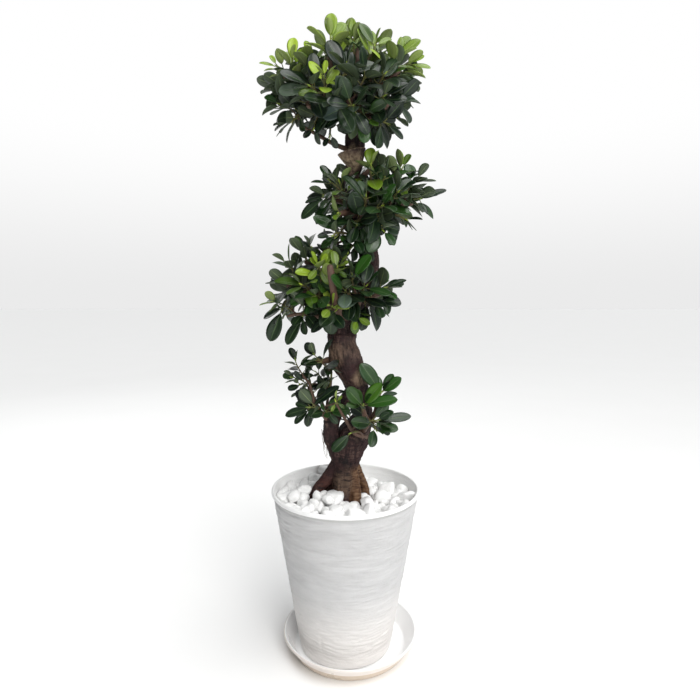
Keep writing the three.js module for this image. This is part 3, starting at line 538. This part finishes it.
      leaves: [[-5.5,-71.1,597.5,-6.5,-70.8,597.9,-0.06,-0.86,-0.5,-0.09,-0.5,0.86,35.1,21.8,8.4,0.06,0.14],
        [5,-50.6,587.7,4.5,-50.3,587.5,0.08,-0.73,-0.67,-0.58,-0.58,0.57,39.5,23.4,7.8,0.06,0.24]] }
  ] },
  { name: 'leafy_branch_middle_05', limb: [[9.8,6,575.1,8],[23.6,-6,583.5,6.4],[39.1,-15.9,591.8,5],[56.7,-20,600.6,3.2]], shoots: [
    { twig: [[24.2,-6.6,583.9,2.3],[37.2,-19.4,596.9,1.8],[53.1,-26,603.6,1.3]],
      leaves: [[52.6,-25.8,603.4,53.2,-26.1,603.1,0.18,-0.19,-0.96,0.01,-0.98,0.2,34.6,13.3,6.6,0.05,0.14],
        [49.5,-24.5,602.1,49.3,-24.6,602.6,0.89,0.39,0.25,0.08,-0.66,0.75,32.4,19.4,7.1,-0.04,0.29],
        [46.6,-23.3,600.9,45.9,-24.2,601.8,0.16,-0.65,0.75,0.64,0.64,0.42,34.3,22.3,9.2,0.06,0.14]] },
    { twig: [[19.5,-2.5,581,2.3],[29.8,-25.1,584.2,1.8],[43.1,-40,580.3,1.3]],
      leaves: [[41,-37.7,580.9,40.6,-38.1,581.1,0.2,-0.72,-0.66,0.32,-0.59,0.74,28.4,17.6,6.2,0,0.14],
        [38.5,-34.8,581.7,38.3,-35.2,582.6,1,0.01,-0,0.01,-0.8,0.6,32.5,22.1,8.8,0.06,0.21],
        [31.6,-27.1,583.7,31.4,-27.2,583.4,0.33,-0.08,-0.94,0.69,-0.66,0.3,40.6,23.3,7.3,0.14,0.21],
        [24.8,-14.1,582.7,24.1,-14.4,582.6,-0.05,-0.27,-0.96,0.53,-0.82,0.2,37.7,22.3,9.3,0.11,0.13]] }
  ] },
  { name: 'leafy_branch_middle_06', limb: [[9.9,14,576.7,8],[-2.5,36.4,593.1,6.5],[-15.7,59.5,607.7,5.1],[-31.8,82,619.9,3.4]], shoots: [
    { twig: [[-6.8,44,598.4,2.3],[-17.9,45.6,620.2,1.8],[-20.5,52,639.1,1.3]],
      leaves: [[-18.5,47.1,624.6,-18.9,47.3,624.5,0.16,0.95,0.25,-0.09,-0.24,0.97,38.7,23.7,7.2,0.14,0.17],
        [-17.4,45.5,619.1,-16.9,45.4,619.4,0.76,-0.1,0.64,-0.64,0.03,0.76,39.3,24.2,7.6,0.09,0.28],
        [-12.5,44.8,609.6,-12.5,44.6,609.6,0.74,0.45,0.5,-0.59,0.1,0.8,36.7,23.6,8.5,0.15,0.26]] },
    { twig: [[-2.8,36.9,593.5,2.3],[1.8,57,605.2,1.8],[7,76,612.8,1.3]],
      leaves: [[6.1,72.7,611.4,5.9,72.7,611.4,-0.09,0.98,-0.18,-0.1,0.17,0.98,30.3,17.4,5.5,0.07,0.13],
        [2.2,58.6,605.8,1.7,58.8,605.7,-0.58,0.81,-0.09,0.11,0.19,0.98,34.9,21.2,8.8,0.1,0.16]] },
    { twig: [[1.4,29.4,588,2.3],[-3.8,50.9,590,1.8],[-3.5,68,584.8,1.3]],
      leaves: [[-3.6,63.6,586.2,-3.7,63.8,587,0.7,0.69,-0.16,-0.47,0.62,0.62,28.4,18.6,5.1,0.05,0.13],
        [-3.6,59.7,587.4,-4.5,59.8,587.9,-0.44,0.46,-0.77,-0.2,0.79,0.58,30.7,19.4,9.6,0.08,0.3],
        [-3.8,50.9,590,-3.2,50.8,589.6,0.71,0.43,-0.56,0.28,0.56,0.78,38.9,26.2,7.2,0.1,0.25]] }
  ] },
  { name: 'leafy_branch_middle_07', limb: [[4.9,14,565.2,8],[-20.8,35.3,581.1,6.4],[-49,53.1,596.9,5],[-79.9,66,612.5,3.4]], shoots: [
    { twig: [[-51.5,54.4,598.2,2.3],[-51.1,41.8,625,1.8],[-53.9,42,648.5,1.3]],
      leaves: [[-52.8,41.9,639.7,-52.6,40.9,639.8,-0.37,0.68,0.63,0.37,-0.52,0.77,35.4,22.6,8.5,0.15,0.3],
        [-52.2,41.9,634.5,-52,39.9,634.6,-0.33,-0.86,0.38,-0.19,0.46,0.87,36.6,24.6,7.2,0.04,0.21],
        [-51.1,42.8,622.9,-51.7,42.6,622.9,-0.94,0.07,0.33,0.34,0.07,0.94,35.8,21.5,8.4,0.07,0.21],
        [-51.2,46.7,614.7,-50.8,46.3,614.5,0.15,0.79,0.59,-0.36,-0.52,0.78,38.4,25.2,9.9,0.12,0.23]] },
    { twig: [[-58.6,58,602,2.3],[-72.9,53.6,619.7,1.8],[-85.9,58,632.7,1.3]],
      leaves: [[-80.7,56.2,627.5,-80.7,55.6,627.7,-0.46,0.86,0.23,-0.45,-0.45,0.77,35.1,21.2,9.8,0.13,0.2],
        [-78.2,55.4,625,-78.4,53.8,625.3,-0.68,-0.72,0.14,-0.3,0.45,0.84,41.6,26.2,8.4,0.13,0.26],
        [-73,53.6,619.8,-73.5,53.6,619.4,-0.92,0.06,-0.38,-0.38,-0.29,0.88,37.4,22.4,8.9,0.09,0.28],
        [-66,55.7,611.2,-65.8,55.6,611.3,-0.27,0.89,0.38,0.02,-0.39,0.92,34.5,21.9,8.5,0.05,0.27]] },
    { twig: [[-35.2,45.3,589.5,2.3],[-62.7,52.1,600.6,1.8],[-81.1,68.2,601.2,1.3]],
      leaves: [[-78.5,66,601.1,-79.1,65.4,601.5,-0.88,0.27,-0.38,-0.11,0.68,0.72,29.7,18.9,7,0,0.22],
        [-74.5,62.5,601,-75.4,61.4,602.5,-0.54,0.6,0.6,0.42,-0.42,0.8,30.6,18.4,9.4,0.16,0.17],
        [-72.3,60.5,600.9,-73.2,59.4,601.5,-0.3,0.23,-0.93,-0.95,-0.18,0.26,35.5,23.8,9.6,0.14,0.14],
        [-62.8,52.2,600.6,-63.1,52,600,-0.59,-0.2,-0.78,-0.77,-0.13,0.62,33.9,19.4,10,0.04,0.29]] },
    { twig: [[-27.1,40,584.8,2.3],[-42.7,60,589.5,1.8],[-50.1,77.4,584.6,1.3]],
      leaves: [[-48.4,73.6,585.6,-48.7,73.6,586.2,0.31,0.67,-0.67,-0.17,0.74,0.66,30.5,17.4,6.4,0.06,0.19],
        [-47.2,70.5,586.5,-48.4,70.3,587.7,-0.95,0.27,-0.12,-0.02,0.32,0.95,32.9,21.2,8.4,0.05,0.29],
        [-45.5,66.6,587.6,-45.9,66.8,589.2,0.41,0.71,0.57,-0.82,0.02,0.57,33.2,21.1,7.5,0.15,0.28],
        [-44.5,64.4,588.2,-45.1,64.2,588.4,-0.18,0.18,-0.97,-0.36,0.9,0.24,35.9,22,7.5,0.06,0.19]] }
  ] },
  { name: 'leafy_branch_middle_08', limb: [[13.1,14,581.6,7.5],[25.1,31,593.5,6],[38.4,47.7,604.4,4.7],[55.2,60,615.7,3.2]], shoots: [
    { twig: [[21.9,26.5,590.3,2.3],[31,45.5,604.8,1.8],[44.9,60,612.3,1.3]],
      leaves: [[39.3,54.1,609.2,38.2,54.6,610.2,-0.13,0.7,0.7,0.93,-0.16,0.33,33.6,22.5,9,0.13,0.27],
        [33.7,48.3,606.2,33.1,49,606.2,-0.17,0.88,-0.44,0.2,0.47,0.86,38.5,23.9,7.3,0.07,0.29],
        [30,43.5,603.2,29.6,43.1,603.9,-0.1,-0.23,0.97,0.28,0.93,0.25,37,24.8,10.1,0.11,0.17]] },
    { twig: [[17.5,20.2,585.9,2.3],[32.6,28.7,578.9,1.8],[44,34.3,573,1.3]],
      leaves: [[37.4,31.1,576.4,37.1,31.6,576.4,0.11,0.88,-0.45,0.66,0.28,0.7,31.7,18.4,7.8,0.11,0.12],
        [35.3,30,577.5,35.7,30,578.1,0.76,-0.08,0.65,0.32,0.91,-0.26,38.5,22.8,7.5,0.09,0.22],
        [26.9,25.5,581.5,26.8,25.2,580.9,0.07,-0.25,-0.97,0.93,0.36,-0.03,38.2,22.7,7.7,0.1,0.13]] }
  ] },
  { name: 'leafy_branch_middle_09', limb: [[-4.9,0,547.8,6.5],[-29.9,-22.4,554.6,4.6],[-62.2,-31.9,561.7,3.3],[-96.1,-36,560.2,2.2]], shoots: [
    { twig: [[-82.7,-34.6,563,1.6],[-101,-26.8,576.1,1.3],[-118.7,-28,581.8,0.9]],
      leaves: [[-111.2,-27.5,579.4,-111,-26.1,580.1,-0.7,0.7,0.14,-0.38,-0.53,0.76,22.9,13.8,9.3,0.04,0.2],
        [-108.1,-27.3,578.4,-108,-26.6,579,-0.45,-0.83,-0.33,-0.71,0.12,0.69,27.6,17.1,7.6,0.05,0.21],
        [-93.7,-29.9,570.8,-93.3,-29.7,571.3,-0.44,-0.89,0.16,0.17,0.1,0.98,23.1,14.9,7.4,0.15,0.2]] }
  ] },
  { name: 'leafy_branch_middle_10', limb: [[0,0,557.5,7],[-18.6,-23.1,566.5,5.4],[-40.6,-42.7,575.7,4.3],[-66.3,-56,586.5,3]], shoots: [
    { twig: [[-48.8,-48,578.9,2.3],[-44.5,-48.2,612.3,1.8],[-46.1,-60.5,634,1.3]],
      leaves: [[-45.9,-58.8,631.1,-45.5,-58.4,631.4,0.11,-0.95,0.28,-0.42,0.21,0.89,28.3,18.6,6.5,0.04,0.26],
        [-45.5,-55.8,625.8,-44.6,-54.1,626.9,0.35,-0.05,0.93,-0.21,-0.98,0.03,27.5,18.1,9.4,0.15,0.19],
        [-45.1,-53.1,620.9,-45,-51.7,621.7,-0.89,-0.42,0.18,0.42,-0.59,0.69,29.2,18.1,9.1,0.14,0.18]] },
    { twig: [[-31.1,-35.6,572,2.3],[-43.1,-49.8,587.9,1.8],[-50.6,-66,590.9,1.3]],
      leaves: [[-49.2,-63.1,590.4,-49.8,-62.7,591.1,-0.84,-0.54,-0.07,0.13,-0.32,0.94,29.9,17.7,5.9,0.04,0.3],
        [-46.9,-58.1,589.4,-47,-57.8,590.6,0.28,-0.92,-0.28,-0.57,-0.39,0.73,34.4,23.4,9.6,0.08,0.13],
        [-41.8,-48.2,586.1,-42.1,-48.2,585.9,-0.56,-0.68,-0.47,-0.11,-0.51,0.86,33.5,20.1,7.8,0.1,0.28]] }
  ] },
  { name: 'leafy_branch_lower_01', limb: [[19.6,-10,373.2,8],[24.7,-24.4,384.3,6.6],[24.5,-35.8,399,5],[20.3,-44,415.4,3.4]], shoots: [
    { twig: [[25.6,-28,387.6,2.3],[20.5,-39.7,405.2,1.8],[20.1,-50,421.4,1.3]],
      leaves: [[20.2,-49.7,420.9,20.6,-50.1,421.6,0.95,-0.15,0.26,-0.28,-0.73,0.63,47.8,21.3,6,0.04,0.23]] }
  ] },
  { name: 'leafy_branch_lower_02', limb: [[26.4,-2,381.3,6],[35.1,-11.1,393.2,5.1],[43.6,-19.3,406,4.2],[51.2,-24,420.9,3.2]], shoots: [
    { twig: [[38.5,-14.7,398.1,2.3],[42.5,-21.1,419.3,1.8],[49.4,-26,437.4,1.3]],
      leaves: [[49.2,-25.9,436.9,49.1,-26,437.9,-0.53,-0.07,0.85,0.35,-0.93,0.14,51.1,24.8,6,0.02,0.25],
        [44.4,-22.4,424.2,44.5,-22.1,424.3,0.77,0.56,0.31,-0.12,-0.35,0.93,31,17.9,8.9,0.13,0.2]] },
    { twig: [[34.6,-10.6,392.5,2.3],[35.6,-35.8,391.5,1.8],[40.2,-52.6,384.9,1.3]],
      leaves: [[39,-48.4,386.5,38.3,-48.8,387,-0.23,-0.62,-0.75,0.55,-0.72,0.43,26.8,17.7,5.4,0.05,0.27],
        [38.1,-45,387.9,38.1,-45.4,388.8,0.95,-0.32,-0.04,-0.19,-0.65,0.74,29.9,17.8,7.6,0.1,0.19],
        [35.6,-34.5,391.5,36.1,-34.4,391.2,0.8,0.24,-0.55,0.56,-0.64,0.53,29.1,16.6,8.2,0.12,0.15]] }
  ] },
  { name: 'leafy_branch_lower_03', limb: [[26.1,-12,362.1,4.2],[8.3,-33.7,373.4,3.3],[-7.4,-41.1,397.9,2.4],[-21.9,-42,424.5,1.8]], shoots: [
    { twig: [[1.9,-38.2,381.6,1.8],[22.6,-43.4,393.8,1.4],[41.6,-50.5,399.2,1]],
      leaves: [[41,-50.3,399,42,-50.4,399.2,0.97,0.22,0.07,0.15,-0.82,0.56,49.5,15.9,6.3,0.03,0.15],
        [30.4,-46.3,396,30.1,-46.4,396.8,-0.03,-0.97,0.25,0.75,0.15,0.64,36.1,21.4,9.4,0.09,0.19],
        [23.1,-43.6,393.9,23.3,-43.3,393.6,0.73,0.44,-0.52,0.62,-0.11,0.78,34.2,21.6,8.5,0.06,0.23]] },
    { twig: [[21.4,-17.9,364.8,2.3],[13.5,-34.9,376.7,1.8],[1.6,-44,377.1,1.3]],
      leaves: [[1.9,-43.7,377.1,1.2,-44.2,376.8,-0.69,-0.4,-0.6,-0.1,-0.77,0.63,34.4,20.2,5.3,0.06,0.18]] },
    { twig: [[-21.9,-42,424.5,1.3],[-43.4,-37.7,417.7,1],[-61.4,-39,416.8,0.7]],
      leaves: [[-60.9,-39,416.8,-61.7,-39,416.7,-0.96,0.02,-0.29,-0.18,-0.84,0.52,37,14.9,5.5,0.04,0.21],
        [-46.1,-37.9,417.6,-46.1,-38,417.3,-0.33,-0.94,-0.05,-0.8,0.24,0.56,34.6,20.3,8.7,0.09,0.24]] }
  ] },
  { name: 'leafy_branch_lower_04', limb: [[-31,-12,383.7,6],[-48.1,-24.8,407.5,3.3],[-61.4,-25.7,436.3,2.3],[-74.8,-24,464.5,1.8]], shoots: [
    { twig: [[-60.6,-26,432.6,1.5],[-72,-15.4,451.6,1.1],[-89.1,-17.2,460.5,0.8]],
      leaves: [[-85.1,-16.8,458.4,-84.8,-15.6,459.2,-0.92,0.35,0.19,-0.2,-0.83,0.52,20.3,13.7,6.3,0.02,0.29],
        [-81,-16.3,456.3,-80.5,-15.2,457.3,-0.71,-0.71,-0.03,-0.33,0.29,0.9,23.3,13.5,8.3,0.04,0.23],
        [-66.8,-20.2,442.9,-66,-19.3,442.8,-0.87,0.27,-0.41,-0.27,0.44,0.86,24.3,15.3,9.1,0.05,0.24]] },
    { twig: [[-69.3,-23.9,458.4,1.3],[-81,-24.1,475.9,1],[-85.8,-28.6,488.8,0.7]],
      leaves: [[-83.4,-26.3,482.3,-84.1,-25.9,482.2,-0.53,-0.8,0.29,0.12,0.27,0.95,23.1,15.4,7.1,0.06,0.25],
        [-78.5,-24.1,472.2,-78.9,-23.4,472,-0.6,0.78,0.14,-0.17,-0.3,0.94,26.1,16.4,8.5,0.15,0.14],
        [-77.8,-24,471.1,-78.2,-24,470.9,-0.26,-0.96,0.11,-0.15,0.15,0.98,26.6,15.2,8.1,0.1,0.21]] }
  ] },
  { name: 'leafy_branch_lower_05', limb: [[-32.7,-8,387.7,4],[-37.2,-11.8,414.8,2.3],[-31.8,-13.9,441.9,1.9],[-29.8,-14,469.5,1.6]], shoots: [
    { twig: [[-34.1,-9.1,395.1,2.2],[-37.7,-21.2,405.6,1.7],[-38,-34,410.1,1.2]],
      leaves: [[-37.7,-23.3,406.4,-37.2,-23.2,406.7,0.99,-0.14,0.09,-0.17,-0.88,0.45,30.2,20.1,7.7,0.05,0.14],
        [-36,-15.4,400.6,-36.9,-14.6,401.1,-0.91,0.28,0.31,0.19,-0.38,0.9,39.9,27,10.1,0.11,0.28]] },
    { twig: [[-29.8,-14,469.5,1.3],[-43.4,-28.7,485.2,1],[-54.5,-36.2,498.4,0.7]],
      leaves: [[-48.7,-32.3,491.5,-48.6,-33,491.1,-0.54,-0.84,0.04,-0.34,0.26,0.9,29.2,18.1,7.4,0.13,0.3],
        [-40.7,-25.8,482.2,-40.4,-26.4,482,0.47,-0.87,0.14,-0.6,-0.2,0.77,34.7,23.1,8.7,0.05,0.16]] }
  ] },
  { name: 'leafy_branch_lower_06', limb: [[-34,-8,488.3,6],[-39.7,-17.6,488.2,4.6],[-46.9,-25.8,489.1,3.3],[-56.7,-30,492.4,2.6]], shoots: [

  ] },
  { name: 'leafy_branch_lower_07', limb: [[-8.4,14,349.8,7],[-17.8,29.8,355.8,5.7],[-27.8,44.4,363.4,4.4],[-38.8,56,374.2,3.4]], shoots: [
    { twig: [[-20.4,34.2,357.5,2.3],[-32.8,47.4,369.2,1.8],[-42.6,62,376.4,1.3]],
      leaves: [[-42.3,61.6,376.2,-42.9,62.4,376.5,-0.69,0.72,0.03,0.18,0.14,0.97,24.3,15.9,6.3,0.01,0.49],
        [-40.4,58.7,374.8,-40.5,58.4,375.4,-0.35,0.41,0.84,0.9,0.38,0.19,30.5,20.4,6.1,0.08,0.14]] }
  ] },
  { name: 'leafy_branch_lower_08', limb: [[10.1,14,363.6,7],[17.9,28.8,367.4,5.8],[26.2,42.8,372.6,4.5],[35.1,54,381.9,3.4]], shoots: [
    { twig: [[17.4,27.8,367.1,2.3],[28.1,44.6,375.8,1.8],[37.1,60,384.1,1.3]],
      leaves: [[36.9,59.5,383.9,37.5,60.2,384.4,0.67,0.46,0.59,-0.72,0.2,0.67,23.9,15.3,5,-0.02,0.31],
        [35.5,57.2,382.6,35.5,57.3,382.3,0.26,0.96,-0.11,0.33,0.02,0.94,31.9,21.6,6.7,0.03,0.24]] },
    { twig: [[13.7,20.8,365.4,2.3],[3.4,38.6,374,1.8],[0,56,381.4,1.3]],
      leaves: [[1.5,48.6,378.2,1.2,48.5,378.2,0.57,0.81,0.08,-0.39,0.19,0.9,32.4,21,9.6,0.06,0.12],
        [6.7,32.9,371.2,6.2,33,370.5,-0.03,0.7,-0.72,-0.07,0.71,0.7,34.4,20.9,8.4,0.09,0.21]] }
  ] }
];

// Pebbles lying loose on top, and the uppermost ones of the packed bed.
const LOOSE_PEBBLES = [
  [-33.1,-62.7,275.6,-0.102,-0.886,0.452,0.023,10.9,9.6,7.6,118],
  [-76.2,-17.6,273.8,-0.107,-0.056,-0.992,-0.037,12.2,9.1,7.7,109],
  [-108.4,-30.2,264.8,0.591,0.008,0.057,-0.804,12.9,10.6,8.6,102],
  [-46.7,100.3,264.7,0.791,0.394,0.326,-0.336,12.7,10.8,8.3,110],
  [8.3,76.1,264.2,-0.691,0.558,-0.094,0.45,11.6,9.5,8.5,112],
  [-68.6,-86.5,263.9,0.185,-0.596,0.637,0.453,10.3,9.7,6.9,79],
  [-112.8,-3.4,263.5,-0.324,0.476,0.039,-0.816,13.6,12,8.3,105],
  [4.4,-104.1,262.2,-0.837,-0.466,-0.162,0.236,15,14,8.8,66],
  [-2.1,-75.3,262,0.456,0.215,-0.239,-0.83,14.8,11.4,11.1,126],
  [-33.4,-102.9,260.5,-0.678,-0.587,-0.264,0.355,13.8,11.7,9,104],
  [-30.9,67.1,260.2,0.358,0.6,-0.551,-0.456,14.6,13,10.2,94],
  [93.9,-15.1,259.7,-0.762,0.608,0.099,0.199,14,11.1,9.3,78],
  [28.3,-36.9,258.7,-0.234,-0.222,0.206,-0.924,13.4,12.5,8.4,91]
];
const BED_PEBBLES = [
  [-28,-41.3,268.5,0.25,-0.398,0.865,0.176,16.4,15.5,11.8,111],
  [31,57.5,247.6,0.121,0.696,0.652,-0.276,16.8,15.7,9.7,80],
  [-62.2,84.1,256.4,-0.64,0.228,0.09,0.728,16.3,12.8,12,83],
  [54.8,-1.3,254.3,-0.436,-0.718,-0.483,0.246,15.9,13.1,11.4,41],
  [65.4,36.1,254.1,-0.238,0.872,0.357,0.234,15.7,13.7,10.8,100],
  [-82.2,40.6,253.3,0.714,-0.096,-0.594,0.357,16.4,15.3,10,30],
  [-103.8,35.1,256.4,0.645,0.007,-0.707,0.291,16.1,13.4,11.7,44],
  [62,-76.5,257.1,0.466,0.703,0.501,-0.195,16,14.7,10.6,123],
  [65.7,-48.2,248.1,-0.853,-0.014,-0.118,0.508,15.4,14.6,9,68],
  [30.4,-65.9,255,-0.546,0.344,-0.7,0.305,15.6,12.8,10.1,90],
  [-51.2,-32.9,257.5,-0.741,-0.501,-0.425,-0.139,16.6,13,11.3,58],
  [-51.2,60.8,249.9,0.628,0.016,0.648,-0.431,14.9,12.8,11.5,95],
  [30.4,-90.8,241.6,-0.364,0.691,-0.08,0.619,16.8,13.2,9.7,96],
  [-7.7,64.5,254.8,-0.689,-0.075,0.091,0.715,15.8,12.6,9,52],
  [-22,103.1,262.3,0.224,-0.817,0.452,0.28,15.2,13.3,9.9,121],
  [-8.3,-46.4,254.7,-0.678,0.208,0.226,-0.667,16.6,12.1,10.3,33],
  [46.1,-39.4,239.6,-0.68,0.225,-0.508,0.479,16.4,13.3,10.1,43],
  [-74,-42.1,257.1,0.384,0.188,0.532,0.731,15.4,12.4,8.7,24],
  [14.8,35.4,244.9,-0.433,-0.556,-0.584,-0.402,16.6,12.4,10.1,62],
  [-96.5,-49.6,255.8,0.44,-0.283,0.395,-0.755,15.1,11.2,9.2,76],
  [16.1,95,252.2,-0.365,0.749,0.41,-0.371,14,11.5,10.4,49],
  [76.5,51.3,238.2,-0.342,0.761,0.494,-0.245,14.5,13.4,10.2,87],
  [89.5,36.7,250.3,0.474,-0.41,0.527,0.574,13.7,10.6,10.5,115],
  [-61.1,40.6,255.4,-0.364,-0.475,-0.338,0.726,13.4,10.9,8.4,127],
  [72.9,-3.8,237.8,-0.567,0.342,0.109,-0.742,15.3,12.5,10.3,8],
  [29.5,-24.1,240.7,-0.224,-0.726,-0.288,-0.583,16.3,13.2,9,53],
  [-86.2,-15,257.8,-0.105,-0.365,0.925,-0.02,16.3,15,9,59],
  [23.6,1.4,252.1,-0.304,-0.776,0.54,-0.119,12.8,10.6,8.5,97],
  [50.5,45.5,236.3,-0.086,-0.972,-0.22,-0.014,15.1,11.5,10.3,17],
  [87.7,-30.2,240.7,-0.448,-0.268,-0.545,0.656,15.6,12.6,11.6,27],
  [-89.8,58.8,236.7,-0.809,0.115,0.394,-0.42,12.7,10.7,9.1,61],
  [-63.9,18.5,249.7,0.386,-0.104,0.729,-0.555,12.3,10.5,7.6,129]
];

// ------------------------------------------------------------------ finishes
const finish = {
  saucer: new THREE.MeshStandardMaterial({ name: 'saucer', color: 0xe9e5de, roughness: 0.3, metalness: 0 }),
  pot: new THREE.MeshStandardMaterial({ name: 'pot', color: 0xe6e4e1, roughness: 0.42, metalness: 0 }),
  soil: new THREE.MeshStandardMaterial({ name: 'soil', color: 0x3a2a1e, roughness: 0.95, metalness: 0 }),
  pebble: new THREE.MeshStandardMaterial({ name: 'pebble', color: 0xeceae6, roughness: 0.6, metalness: 0 }),
  bark: new THREE.MeshStandardMaterial({ name: 'bark', color: 0x4a332a, roughness: 0.8, metalness: 0 }),
  leaf: new THREE.MeshStandardMaterial({ name: 'leaf', color: 0x2c4a26, roughness: 0.4, metalness: 0 }),
};

const plant = new THREE.Group();
function piece(name, geometry, material) {
  const mesh = new THREE.Mesh(geometry, material.clone());
  mesh.name = name;
  plant.add(mesh);
}

// ------------------------------------------------------------------ saucer
piece('saucer', geometryOf(solid(lathe([
  [0, 0], [SAUCER_BASE_R, 0], [SAUCER_BASE_R + 1.5, 1.4], [102.5, 14.5], [104.2, 15.1], [109.3, 25.2],
  [SAUCER_RIM_R - 0.6, 25.9], [SAUCER_RIM_R, 27.6], [SAUCER_RIM_R - 0.9, SAUCER_HEIGHT - 0.3],
  [SAUCER_RIM_R - 2.4, SAUCER_HEIGHT], [SAUCER_RIM_R - 4.2, SAUCER_HEIGHT - 1], [93.6, 4.4],
  [91.6, SAUCER_FLOOR], [0, SAUCER_FLOOR],
], 28))), finish.saucer);

// ------------------------------------------------------------------ pot
let pot = solid(lathe([
  [0, POT_FOOT_Z + 3], [70, POT_FOOT_Z + 3], [70.8, POT_FOOT_Z], [POT_FOOT_R, POT_FOOT_Z],
  [POT_WALL_TOP_R, POT_RIM_TOP - POT_RIM_BAND - 0.8], [POT_RIM_R, POT_RIM_TOP - POT_RIM_BAND],
  [POT_RIM_R, POT_RIM_TOP - 1.5], [POT_RIM_R - 1.2, POT_RIM_TOP], [POT_INNER_TOP_R + 1.9, POT_RIM_TOP],
  [POT_INNER_TOP_R + 0.7, POT_RIM_TOP - 1.3], [POT_INNER_TOP_R, POT_RIM_TOP - 7.5],
  [POT_INNER_FLOOR_R, POT_FLOOR_TOP], [0, POT_FLOOR_TOP],
], POT_SEGMENTS, POT_AXIS_X));
for (let i = 0; i < 4; i++) {
  const a = (i / 4) * Math.PI * 2 + 0.3;
  const h = new THREE.CylinderGeometry(DRAIN_HOLE_R, DRAIN_HOLE_R, 20, 8);
  h.rotateX(Math.PI / 2);
  h.translate(POT_AXIS_X + DRAIN_RING_R * Math.cos(a), DRAIN_RING_R * Math.sin(a), POT_FLOOR_TOP);
  pot = pot.subtract(solid(h));
}
piece('pot', geometryOf(pot), finish.pot);

// ------------------------------------------------------------------ trunk with its roots, fork and cut stub
const trunk = largest(wasm.Manifold.union(WOOD.map((w) => limb(w.rows, w.sides))));
const trunkRoom = wasm.Manifold.union(WOOD.map((w) => limb(w.rows, w.sides, GAP + 0.05)));
piece('trunk', geometryOf(trunk), finish.bark);

// ------------------------------------------------------------------ soil
const soilBody = solid(lathe([
  [0, POT_FLOOR_TOP + GAP], [innerWallR(POT_FLOOR_TOP + GAP) - GAP, POT_FLOOR_TOP + GAP],
  [innerWallR(SOIL_TOP) - GAP, SOIL_TOP], [0, SOIL_TOP],
], POT_SEGMENTS, POT_AXIS_X));
piece('soil', geometryOf(largest(soilBody.subtract(trunkRoom))), finish.soil);

// ------------------------------------------------------------------ pebbles
const looseRoom = wasm.Manifold.union(LOOSE_PEBBLES.map((s) => stone(s, GAP + 0.1)));
const wallBand = solid(lathe([
  [0, SOIL_TOP + GAP], [innerWallR(SOIL_TOP + GAP) - GAP, SOIL_TOP + GAP],
  [innerWallR(POT_RIM_TOP - 7.6) - GAP, POT_RIM_TOP - 7.6], [innerWallR(POT_RIM_TOP - 7.6) - GAP, POT_RIM_TOP + 14],
  [0, POT_RIM_TOP + 14],
], POT_SEGMENTS, POT_AXIS_X));
const bedBase = solid(lathe([
  [0, SOIL_TOP + GAP], [innerWallR(SOIL_TOP + GAP) - GAP, SOIL_TOP + GAP],
  [innerWallR(BED_TOP) - GAP, BED_TOP], [0, BED_TOP],
], POT_SEGMENTS, POT_AXIS_X));
const bed = wasm.Manifold.union([bedBase, ...BED_PEBBLES.map((s) => stone(s))])
  .intersect(wallBand).subtract(trunkRoom).subtract(looseRoom);
piece('pebble_bed', geometryOf(largest(bed)), finish.pebble);
LOOSE_PEBBLES.forEach((s, i) => {
  const name = `loose_pebble_${String(i + 1).padStart(2, '0')}`;
  piece(name, geometryOf(largest(stone(s).intersect(wallBand).subtract(trunkRoom))), finish.pebble);
});

// ------------------------------------------------------------------ leafy branches
// Each branch is one grown piece. It starts at the trunk's bark, and it is kept clear of the
// branches before it.
const done = [];
for (const b of BRANCHES) {
  const wood = [limb(b.limb, 5), ...b.shoots.map((s) => limb(s.twig, 3))];
  const room = [limb(b.limb, 5, GAP + 0.1), ...b.shoots.map((s) => limb(s.twig, 3, 2 * GAP))];
  let body = wasm.Manifold.union([...wood, ...b.shoots.flatMap((s) => s.leaves.map(leaf))]);
  body = body.subtract(trunkRoom);
  for (const other of done) {
    const box = other.boundingBox();
    const mine = body.boundingBox();
    const apart = [0, 1, 2].some((i) => box.min[i] > mine.max[i] || box.max[i] < mine.min[i]);
    if (!apart) body = body.subtract(other);
  }
  body = largest(body);
  piece(b.name, geometryOf(body), finish.leaf);
  done.push(wasm.Manifold.union(room));
}

export default plant;
